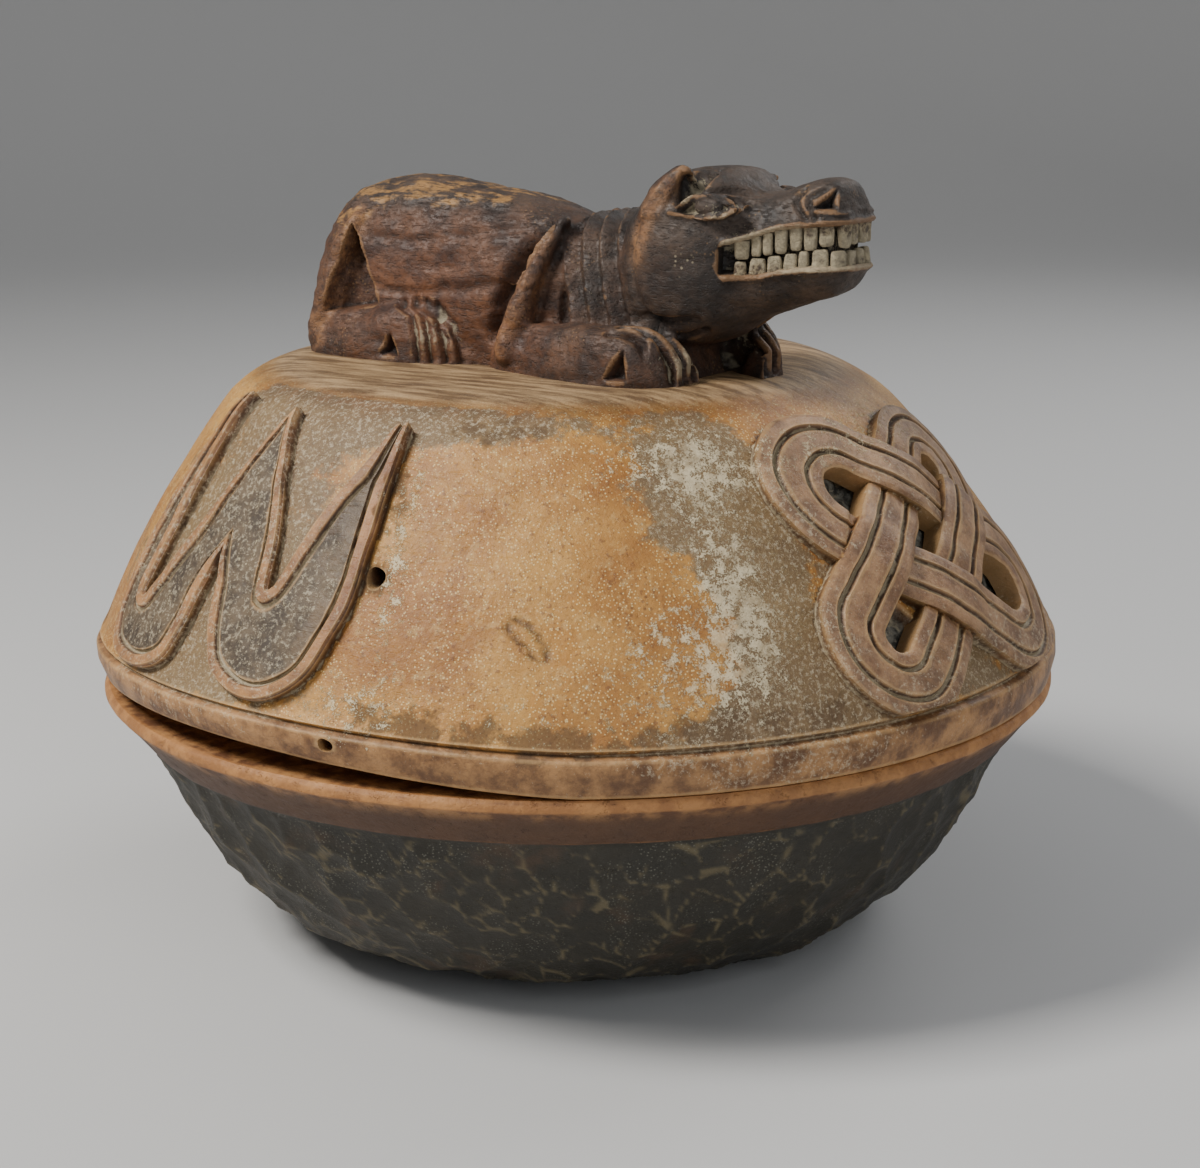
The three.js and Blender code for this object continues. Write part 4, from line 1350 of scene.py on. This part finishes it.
def end_wood(material, paint, roughness, height):
    """Feeds the layers to the shader. The height is in millimetres."""
    shader = material.node_tree.nodes["Principled BSDF"]
    bump = put(material.node_tree, "Bump", {"Height": height, "Distance": MM})
    feed(shader.inputs["Base Color"], paint)
    feed(shader.inputs["Roughness"], roughness)
    feed(shader.inputs["Normal"], bump.outputs["Normal"])
    print(material.name, "has", len(material.node_tree.nodes), "nodes")
    return material


# %% [markdown]
# ## Where the lid's patina lies
#
# A grey-brown film lies over the zigzags, whitish crust flakes off beside the knot and under
# the shoulder, and the lower edge has dark stains. They could be masks painted by hand. Here
# each is a sum of soft spots, set by angle and height, and stored on the points. The noise in
# the material breaks their outlines up.

# %% The lid's spots: angle, height, half width in degrees, half height, strength
LID_SPOTS = {
    "crust": [(-37, 56, 6, 36, 0.95), (-40, 96, 16, 12, 0.7), (-78, 70, 2.5, 36, 0.7),
              (-82, 22, 8, 12, 0.6), (-46, 38, 9, 22, 0.65), (-5, 100, 30, 12, 0.6),
              (-104, 60, 24, 45, 0.4), (120, 60, 60, 30, 0.45), (40, 40, 12, 40, 0.6),
              (180, 95, 60, 14, 0.6), (-62, 24, 10, 12, 0.35)],
    "stain": [(-76, 20, 8, 9, 0.85), (-61, 18, 9, 8, 0.9), (-44, 20, 9, 10, 0.9),
              (-30, 20, 6, 12, 0.8), (-80, 84, 2.5, 18, 0.9), (60, 20, 20, 12, 0.8),
              (150, 16, 30, 10, 0.8), (-150, 18, 20, 12, 0.8), (-66, 106, 12, 7, 0.75),
              (-80.6, 62, 2.2, 6, 1), (-60, 90, 20, 6, 0.3)],
    "film": [(-106, 56, 24, 70, 1), (-83, 108, 34, 8, 0.9), (108, 60, 26, 60, 0.95),
             (0, 20, 45, 20, 0.6), (-5, 75, 38, 40, 0.5), (180, 60, 40, 60, 0.5),
             (-38, 88, 9, 20, 0.95), (-33, 50, 6, 46, 1), (-40, 12, 14, 12, 0.7)],
    "orange": [(-80, 45, 2.6, 60, 1)],
}
LID_SCAR = [(-60.8, 41), (-62, 45), (-64, 50), (-63.4, 53), (-61.6, 51.5), (-60, 46), (-59.6, 42)]
SCAR_WIDTH, DEGREE_LENGTH = 0.9, 2.5


def soft_spot(away, rise, wide, high, strength):
    return strength * np.exp(-((away / wide) ** 2) - (rise / high) ** 2)


# %% Marking the lid
def lid_patina(piece):
    """Marks the film, crust and stains on the upright lid, before it is leaned over."""
    mesh = piece.data
    x, y, z = read_places(mesh).T
    angle = np.degrees(np.arctan2(y, x))
    outside = 1 - read_mark(mesh, "inside")
    top = ease(z, 110, 113.2) * outside
    kept = {"crust": 1 - 0.6 * top, "film": 1 - top}
    for mark, spots in LID_SPOTS.items():
        values = sum(soft_spot((angle - at + 180) % 360 - 180, z - level, *size)
                     for at, level, *size in spots)
        write_mark(mesh, mark, np.clip(values, 0, 1) * outside * kept.get(mark, 1))
    write_mark(mesh, "top", top)
    write_mark(mesh, "band", (1 - ease(z, 13.6, 15.6)) * outside)
    # The steep mark finds the steep sides of the reliefs, which the lid's paint darkens as
    # painted shade.
    out = np.stack([x, y, np.hypot(x, y) / 2], axis=-1)
    out /= np.linalg.norm(out, axis=1, keepdims=True).clip(1e-6)
    turned = 1 - (read_normals(mesh) * out).sum(axis=1)
    write_mark(mesh, "steep", ease(turned, 0.06, 0.32) * outside * ease(z, 15, 18) * (1 - top))
    flat = np.stack([angle * DEGREE_LENGTH, z], axis=-1)
    scar = [(at * DEGREE_LENGTH, level) for at, level in LID_SCAR]
    write_mark(mesh, "scar", stroke(flat, scar, SCAR_WIDTH) * outside)


# %% [markdown]
# ## The lid's wood
#
# Honey brown and burnished on the front, with a golden speckle, under all that has settled on
# it since, under painted shade in the hollows and on the steep sides of the reliefs, and with a
# painted highlight on the rubbed edges. One long chain of nodes would do, but it is hard to read,
# so each kind of layer has a function that takes the paint so far and gives it back with its own
# layers on top.

# %% The lid's bare wood
def honey_wood(place, grain):
    """Burnished honey brown with dark pores and a golden speckle."""
    paint = mix(clouds(place, 46, 0.32, 0.66), colour(210, 158, 80), colour(158, 104, 44))
    paint = lay(paint, blotches(place, 13, 0.5, 0.2), 0.6, colour(190, 130, 54))
    paint = lay(paint, grain["Streaks"], 0.3, colour(140, 92, 50))
    paint = lay(paint, blotches(place, 4, 0.45), 0.4, colour(210, 170, 106))
    paint = lay(paint, blotches(place, 2.2, 0.34, 0.08), 0.6, colour(112, 70, 40))
    paint = lay(paint, speckle(place, 2.4, 0.42), 0.6, colour(86, 52, 30))
    return lay(paint, speckle(place, 1.1, 0.95), 0.75, colour(242, 214, 150))


# %% The film and the top
def filmed(paint, place, mark, film):
    """Grey-brown film on the wall, and the streaked, weathered top."""
    greys = mix(noise(place, 6, 5, HARSH_NOISE), colour(134, 118, 90), colour(74, 64, 48))
    paint = lay(paint, film, 0.8, greys)
    lines = clouds(place, 4.5, 0.34, 0.64, stretch=(0.16, 1, 1))
    tops = mix(lines, colour(184, 154, 116), colour(92, 74, 56))
    tops = lay(tops, blotches(place, 24, 0.4, 0.2), 0.5, colour(84, 70, 56))
    return lay(paint, mark["top"], 0.9, tops)


# %% The rim band, the knot and the zigzags
def reliefs_toned(paint, mark, shades):
    """Each relief in browns of its own, from light to dark with the same soft shades."""
    bands = mix(shades, colour(178, 132, 84), colour(104, 70, 42))
    knots = mix(shades, colour(176, 138, 104), colour(116, 86, 66))
    borders = mix(shades, colour(182, 130, 80), colour(126, 86, 56))
    centres = mix(shades, colour(104, 88, 68), colour(52, 44, 37))
    paint = mix(mark["band"], paint, bands)
    paint = lay(paint, mark["knot"], 0.85, knots)
    paint = lay(paint, mark["border"], 0.85, borders)
    red = product(mark["border"], mark["orange"])
    paint = lay(paint, red, 0.85, colour(134, 66, 28))
    return lay(paint, mark["centre"], 0.9, centres)


# %% Stains, wear, painted highlights and painted shade
def worn_stained_and_shaded(paint, place, mark, shades, stains):
    """Dark stains, rubbed edges that also carry a painted highlight, painted shade on the steep
    sides of the reliefs and in the hollows, and dark grooves and pockets.
    """
    umbers = mix(noise(place, 3, 5, HARSH_NOISE), colour(112, 88, 62), colour(62, 46, 34))
    paint = lay(paint, stains, 0.75, umbers)
    # Painted shade: the steep sides of the reliefs are darkened.
    painted_shade_on_walls = mix(shades, colour(112, 72, 42), colour(58, 38, 25))
    paint = lay(paint, mark["steep"], 0.8, painted_shade_on_walls)
    fine = clouds(place, 1.3, 0.5, 0.72, harshness=HARSH_NOISE)
    paint = lay(paint, fine, 0.35, colour(74, 50, 32))
    # Partly wear and partly a painted highlight: the lid's rubbed edges are lightened to cream.
    rubbed = effect(RUBBED, place, Edge=mark["edge"], Amount=1)["Mask"]
    paint = lay(paint, rubbed, 0.4, colour(214, 174, 120))
    # Painted shade: the hollows, such as the foot of each relief, are darkened.
    paint = lay(paint, mark["hollow"], 0.8, colour(58, 38, 24))
    paint = lay(paint, mark["groove"], 0.85, colour(42, 31, 23))
    lumps = clouds(place, 4, 0.35, 0.65, harshness=HARSH_NOISE)
    return mix(mark["pocket"], paint, mix(lumps, colour(46, 43, 38), colour(136, 132, 120)))


# %% Dust and crust
def dusty(paint, place, mark, patchy, film, flakes):
    """Dust in the hollows, thick flaking crust, and fine white flakes all over."""
    held = product(total(mark["hollow"], mark["groove"]), spread(patchy, 0.6, 1.2))
    dust = effect(DUST, place, Hollow=held, Amount=0.75)["Mask"]
    paint = lay(paint, dust, 0.45, colour(214, 196, 160))
    chalk = clouds(place, 6, 0.3, 0.62, 4, SOFT_NOISE)
    thick = product(flakes["Mask"], total(0.28, product(chalk, 0.5)))
    paint = mix(thick, paint, colour(228, 212, 176))
    white = effect(FLAKES, place, Size=1.6, Density=total(0.22, product(film, 0.3)))["Mask"]
    return lay(paint, white, 0.4, colour(226, 212, 182))


# %% The lid's material
def lid_paint():
    """Bare wood under film, reliefs, wear with a painted highlight on the edges, painted shade,
    dust and crust, and raw wood inside.
    """
    material, place, mark = start_wood(
        "lid_wood_paint", "top crust stain film band orange hollow edge pocket inside knot "
        "groove centre border scar steep")
    grain = effect(GRAIN, place, Size=4)
    shades = clouds(place, 11, 0.34, 0.64)
    patchy = total(mark["film"], product(noise(place, 9, 5, MID_NOISE), 1.2))
    film = spread(patchy, 1.04, 1.24)
    stains = product(blotches(place, 8, mark["stain"], 0.16), spread(mark["stain"], 0.1, 0.5))
    flakes = effect(FLAKES, place, Size=4, Density=product(mark["crust"], 0.85))
    scar = product(mark["scar"], clouds(place, 2.5, 0.3, 0.5, 3, SOFT_NOISE))

    paint = filmed(honey_wood(place, grain), place, mark, film)
    paint = reliefs_toned(paint, mark, shades)
    paint = worn_stained_and_shaded(paint, place, mark, shades, stains)
    paint = dusty(paint, place, mark, patchy, film, flakes)
    paint = lay(paint, scar, 0.85, colour(58, 38, 24))
    raw = mix(grain["Streaks"], colour(176, 132, 88), colour(126, 86, 52))
    paint = lay(paint, mark["inside"], 0.9, raw)

    matt = total(flakes["Mask"], product(film, 0.4), mark["pocket"], stains)
    roughness = total(0.4, product(spread(matt, 0, 1), 0.35), product(noise(place, 5), 0.16))
    height = total(
        product(noise(place, 2.2, 5, HARSH_NOISE), 0.4),
        product(grain["Pores"], -0.1),
        product(stains, -0.12),
        product(scar, -0.5),
        flakes["Height"],
    )
    return end_wood(material, paint, roughness, height)


# %% [markdown]
# ## The bowl's wood
#
# Black with a green cast where soot and oil have soaked in, paler on the ridges between the
# adze cuts, partly in the wood's own colour and partly as a painted highlight, brown on the
# smooth band, and rubbed to orange along the rim. Soot and band are mixed as two woods and joined
# by the band's mark, so that each can have layers of its own.

# %% The sooty wall
def sooty_wood(place, mark, dust):
    """Black with warm patches, pale ridges that are partly a painted highlight, grit and dust."""
    soot = mix(noise(place, 18, 5), colour(30, 30, 25), colour(56, 50, 38))
    soot = lay(soot, blotches(place, 22, 0.42, 0.2), 0.5, colour(88, 64, 42))
    # Partly pale ridge lines of the wood and partly a painted highlight that brings out the adze
    # facets.
    pale_and_highlit_ridges = spread(total(mark["ridge"], noise(place, 9, 4)), 0.55, 1.7)
    soot = lay(soot, pale_and_highlit_ridges, 0.5, colour(132, 118, 84))
    soot = lay(soot, speckle(place, 1.2, 0.6), 0.5, colour(132, 130, 116))
    return lay(soot, dust["Mask"], 0.35, colour(116, 106, 82))


# %% The bowl's material
def bowl_paint():
    """Soot below, a brown band above it, a rubbed rim, and raw wood inside."""
    material, place, mark = start_wood("bowl_wood_paint", "ridge band inside edge rim")
    grain = effect(GRAIN, place, Size=3.5)
    dust = effect(FLAKES, place, Size=3.5, Density=0.3)
    band = mix(noise(place, 16, 5), colour(92, 60, 36), colour(46, 31, 21))
    band = lay(band, grain["Streaks"], 0.3, colour(122, 82, 48))
    rims = mix(clouds(place, 9, 0.36, 0.62), colour(176, 128, 78), colour(98, 62, 36))
    band = lay(band, mark["rim"], 0.9, rims)
    paint = mix(mark["band"], sooty_wood(place, mark, dust), band)
    rubbed = effect(RUBBED, place, Edge=mark["edge"], Amount=1)["Mask"]
    paint = lay(paint, product(rubbed, mark["band"]), 0.5, colour(190, 132, 76))
    raw = mix(grain["Streaks"], colour(150, 110, 70), colour(104, 72, 44))
    paint = lay(paint, mark["inside"], 0.95, raw)
    roughness = total(0.46, product(noise(place, 4, 4), 0.3))
    height = total(
        product(noise(place, 1.8, 4), 0.36),
        product(grain["Pores"], -0.08),
        dust["Height"],
    )
    return end_wood(material, paint, roughness, height)


# %% [markdown]
# ## The animal's wood
#
# Almost black on the head and neck, red-brown on the flanks and legs, and rubbed down to
# yellow wood on the rump and the arms. Pale residue stays in the mouth, the eyes, the ears,
# the neck folds and between the claws. Teeth are the same wood under that residue, so they
# are a layer of this material and have none of their own.

# %% The animal's dark skin
def dark_skin(place, mark):
    """Browns, reds and blacks, worn to gold on the rump and to brown on the arms."""
    cloud = clouds(place, 13, 0.3, 0.68)
    paint = mix(cloud, colour(82, 54, 36), colour(38, 27, 21))
    paint = lay(paint, mark["red"], 0.85, mix(cloud, colour(126, 82, 54), colour(70, 42, 30)))
    paint = lay(paint, mark["black"], 0.8, mix(cloud, colour(76, 64, 54), colour(30, 25, 23)))
    streaks = noise(place, 3.4, 4, MID_NOISE, (0.3, 1, 1))
    wear = product(blotches(place, 9, mark["worn"], 0.16), spread(mark["worn"], 0.05, 0.4),
                   spread(streaks, 0.44, 0.58))
    paint = lay(paint, wear, 0.7, mix(streaks, colour(214, 166, 96), colour(136, 92, 50)))
    bared = product(mark["bars"], clouds(place, 5, 0.3, 0.6, harshness=HARSH_NOISE))
    return lay(paint, bared, 0.75, mix(cloud, colour(164, 120, 80), colour(104, 68, 44)))


# %% Pores, specks, worn edges and painted shade
def grained_and_shaded_skin(paint, place, mark, pores, fine):
    """Dark knots and pores, tan specks, edges that hands have rubbed, and painted shade in the
    hollows.
    """
    knots = product(speckle(place, 7, 1), mark["spots"])
    paint = lay(paint, knots, 0.75, colour(50, 36, 27))
    paint = lay(paint, pores, 0.5, colour(28, 19, 14))
    paint = lay(paint, fine, 0.4, colour(26, 19, 15))
    paint = lay(paint, speckle(place, 1.5, 0.45), 0.35, colour(166, 128, 84))
    rubbed = effect(RUBBED, place, Edge=mark["edge"], Amount=1.1)["Mask"]
    paint = lay(paint, rubbed, 0.55, colour(150, 112, 74))
    # Painted shade: the hollows of the animal are darkened almost to black.
    return lay(paint, mark["hollow"], 0.75, colour(20, 15, 12))


# %% The animal's material
def animal_paint():
    """Dark skin, pale teeth, and residue in every hollow of the face and paws."""
    material, place, mark = start_wood(
        "figure_wood_paint", "worn bars red black spots residue specks tooth hollow edge")
    pores = effect(GRAIN, place, Size=2.6)["Pores"]
    fine = clouds(place, 1.5, 0.48, 0.68, harshness=HARSH_NOISE, stretch=(0.5, 1, 1))
    paint = grained_and_shaded_skin(dark_skin(place, mark), place, mark, pores, fine)

    dirt = clouds(place, 2.2, 0.34, 0.6, harshness=HARSH_NOISE)
    tooth = mix(dirt, colour(164, 148, 116), colour(58, 44, 32))
    # Painted shade between the teeth: less tooth colour in the hollows, so the darkened skin
    # under it shows there.
    tooth_cover_less_in_shade = maths("SUBTRACT", 0.9, product(mark["hollow"], 0.7))
    paint = lay(paint, mark["tooth"], tooth_cover_less_in_shade, tooth)

    held = total(product(mark["residue"], total(0.35, mark["hollow"], mark["edge"])),
                 product(mark["hollow"], 0.2))
    dust = effect(DUST, place, Hollow=held, Amount=0.9)["Mask"]
    flakes = effect(FLAKES, place, Size=1.8, Density=product(mark["residue"], 0.7))
    flecks = speckle(place, 2, mark["specks"])
    pale = spread(total(dust, flakes["Mask"], flecks), 0.1, 1.3)
    paint = lay(paint, pale, 0.65, colour(186, 174, 146))

    roughness = total(0.42, product(noise(place, 4, 4), 0.3), product(pale, 0.25))
    height = total(
        product(noise(place, 4.2, 5, 0.62), 0.7),
        product(pores, -0.2),
        product(fine, -0.15),
        flakes["Height"],
    )
    return end_wood(material, paint, roughness, height)


# %% [markdown]
# ## Placing and dressing the pieces
#
# Hollows and edges are found by comparing each point with its softened surroundings. Pointiness
# in the material would do that too, but it changes with the fineness of the mesh. Wear is
# marked as on the lid, by soft spots. All this is done while the lid stands upright and the
# animal lies in its own frame, where places are easy to name. Only then is each piece moved
# to its place.

# %% The animal's spots: along, height, half length, half height, strength
ANIMAL_SPOTS = {
    "worn": [(-80, 54, 18, 11, 1), (-48, 61, 34, 6, 0.8), (112, 66, 7, 5, 0.8),
             (-10, 58, 30, 5, 0.5), (58, 15, 7, 6, 0.5), (-30, 36, 30, 8, 0.3)],
    "red": [(-38, 28, 50, 26, 1), (15, 10, 40, 12, 0.7), (64, 38, 12, 14, 0.8)],
    "black": [(34, 40, 14, 40, 0.8)],
    "spots": [(-82, 50, 16, 14, 1)],
    "residue": [(84, 60, 10, 3.5, 0.8), (76, 67, 4, 5, 0.85), (76, 8, 10, 10, 0.7),
                (-30, 10, 11, 9, 0.7), (30, 30, 14, 26, 0.5)],
    "specks": [(77, 42, 6, 7, 1), (70, 50, 20, 10, 0.3)],
}
MOUTH_RESIDUE = (112, 47, 36, 9, 1)


# %% Marking the animal
def mark_animal(piece):
    """Marks where the animal is worn, red, black or dusty, in its own frame."""
    mesh = piece.data
    x, y, z = read_places(mesh).T

    def spot(along, level, *size):
        return soft_spot(x - along, z - level, *size)

    more = {
        "black": ease(x, 44, 56) * ease(z, 8, 24) + 0.9 * ease(z, 50, 60),
        "residue": spot(*MOUTH_RESIDUE) * ease(x, 85, 89),
    }
    for mark, spots in ANIMAL_SPOTS.items():
        values = sum(spot(*row) for row in spots) + more.get(mark, 0)
        write_mark(mesh, mark, np.clip(values, 0, 1))
    side = np.stack([x, z], axis=-1)
    bars = np.zeros(len(x))
    for line, wide in ((UPPER_ARM, 4), (THIGH, 6), (EAR_BAR, 4.5)):
        near = line_distance(side, [(along, level) for along, _, level, _ in line])
        bars = np.maximum(bars, np.exp(-((near / wide) ** 4)) * ease(np.abs(y), 20, 25))
    write_mark(mesh, "bars", bars)


# %% Placing the pieces
def settle(places):
    """Moves the animal from its own frame to its place on the lid."""
    c, s = math.cos(FIGURE_TURN), math.sin(FIGURE_TURN)
    x, y, z = places.T
    level = z + BOWL_HEIGHT + REST_GAP + LID_HEIGHT
    return np.stack([c * x - s * y, s * x + c * y + FIGURE_OFFSET, level], axis=-1)


mark_relief(figure.data, 8, 0.7, 0.6)
mark_relief(lid.data, 5, 0.7, 0.6)
mark_relief(bowl.data, 5, 0.7, 0.5)
mark_animal(figure)
lid_patina(lid)

bowl_places = read_places(bowl.data)
write_mark(bowl.data, "rim", ease(bowl_places[:, 2], 88, 95))
bowl_places[:, 2] = bowl_places[:, 2].clip(0)  # no scoop reaches below the flat foot
write_places(bowl.data, bowl_places)
write_places(lid.data, as_carved(read_places(lid.data)) + (0, 0, BOWL_HEIGHT + REST_GAP))
write_places(figure.data, settle(read_places(figure.data)))

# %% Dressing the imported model
CRISP = math.radians(42)
PIECES = [
    (bowl, "bowl", "bowl", "bowl_wood", bowl_paint()),
    (lid, "lid", "lid", "lid_wood", lid_paint()),
    (figure, "lid", "lid_figure", "figure_wood", animal_paint()),
]
for piece, body, node, slot, paint in PIECES:
    piece.data.validate()
    piece.data.shade_smooth()
    piece.data.set_sharp_from_angle(angle=CRISP)
    piece.data.materials.clear()
    piece.data.materials.append(paint)
    piece.data.polygons.foreach_set("material_index", [0] * len(piece.data.polygons))
    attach(piece, body)
    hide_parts(node)
    print(piece.name, "rides on", body, len(piece.data.polygons), "faces")

# %% [markdown]
# ## Floor, light and camera
#
# The box stands on a pale floor that curves up into a wall on every side, so no view of it
# shows an edge. A large soft key light from the front and above models the reliefs, a weak
# fill opens the shadows, and a light from behind draws the outline. An environment picture
# could light it too, but area lights need no file. The camera's place, turn and lens were
# found by fitting circles of the model to the outlines of the rim, dome and foot.

# %% The floor
def studio_sweep():
    """A round pale floor that curves up into a wall on every side."""
    rise = bezier([(2.4, 0), (3.6, 0), (3.9, 0.6), (4, 3)], 16)
    profile = [(0.001, 0), (0.6, 0), (1.4, 0), *rise]
    turn = np.linspace(0, 2 * math.pi, 64, endpoint=False)
    rings = [[(r * math.cos(a), r * math.sin(a), z) for a in turn] for r, z in profile]
    places, faces = loft(rings)
    mesh = bpy.data.meshes.new("studio_floor")
    mesh.from_pydata(places.tolist(), [], faces[:-1])
    floor = bpy.data.objects.new("studio_floor", mesh)
    bpy.context.scene.collection.objects.link(floor)
    mesh.shade_smooth()
    return floor


def set_look(material, values):
    """Sets plain numbers and colours on a material's own shader."""
    material.use_nodes = True
    for name, value in values.items():
        material.node_tree.nodes["Principled BSDF"].inputs[name].default_value = value


floor = studio_sweep()
floor_paint = bpy.data.materials.new("studio_pale")
set_look(floor_paint, {"Base Color": (0.6, 0.6, 0.6, 1), "Roughness": 0.9})
floor.data.materials.append(floor_paint)


# %% The lights
def soft_light(name, place, size, power, tint):
    """A rectangular area light that points at the middle of the box."""
    data = bpy.data.lights.new(name, "AREA")
    data.shape = "RECTANGLE"
    data.size, data.size_y = size
    data.energy = power
    data.color = tint
    light = bpy.data.objects.new(name, data)
    light.location = place
    toward = Vector((0, 0, 0.15)) - Vector(place)
    light.rotation_euler = toward.to_track_quat("-Z", "Y").to_euler()
    bpy.context.scene.collection.objects.link(light)
    print("light", name, "of", power, "W,", round(toward.length, 2), "m away")


soft_light("key", (-0.6, -0.95, 1.45), (0.6, 0.5), 36, (1, 0.97, 0.92))
soft_light("fill", (1.5, -0.9, 0.9), (1.2, 1.2), 8, (0.92, 0.96, 1))
soft_light("back", (0.5, 1.5, 1.3), (1.2, 0.6), 12, (1, 1, 1))
world = bpy.data.worlds.new("studio_air")
bpy.context.scene.world = world
world.use_nodes = True
air = world.node_tree.nodes["Background"].inputs
air["Color"].default_value = (0.9, 0.92, 0.95, 1)
air["Strength"].default_value = 0.25

# %% The camera
CAMERA_PLACE = (0.465, -0.716, 0.335)
CAMERA_LENS, CAMERA_DOWN, CAMERA_HEADING, CAMERA_ROLL = 68.8, 13.92, 32.44, -0.41

camera_data = bpy.data.cameras.new("camera")
camera_data.lens = CAMERA_LENS
camera = bpy.data.objects.new("camera", camera_data)
turns = [
    Matrix.Rotation(math.radians(CAMERA_HEADING), 4, "Z"),
    Matrix.Rotation(math.radians(90 - CAMERA_DOWN), 4, "X"),
    Matrix.Rotation(math.radians(CAMERA_ROLL), 4, "Z"),
]
camera.matrix_world = Matrix.Translation(CAMERA_PLACE) @ turns[0] @ turns[1] @ turns[2]
bpy.context.scene.collection.objects.link(camera)
bpy.context.scene.camera = camera
print("camera", round(math.hypot(*CAMERA_PLACE), 2), "m from the foot, lens", CAMERA_LENS, "mm")
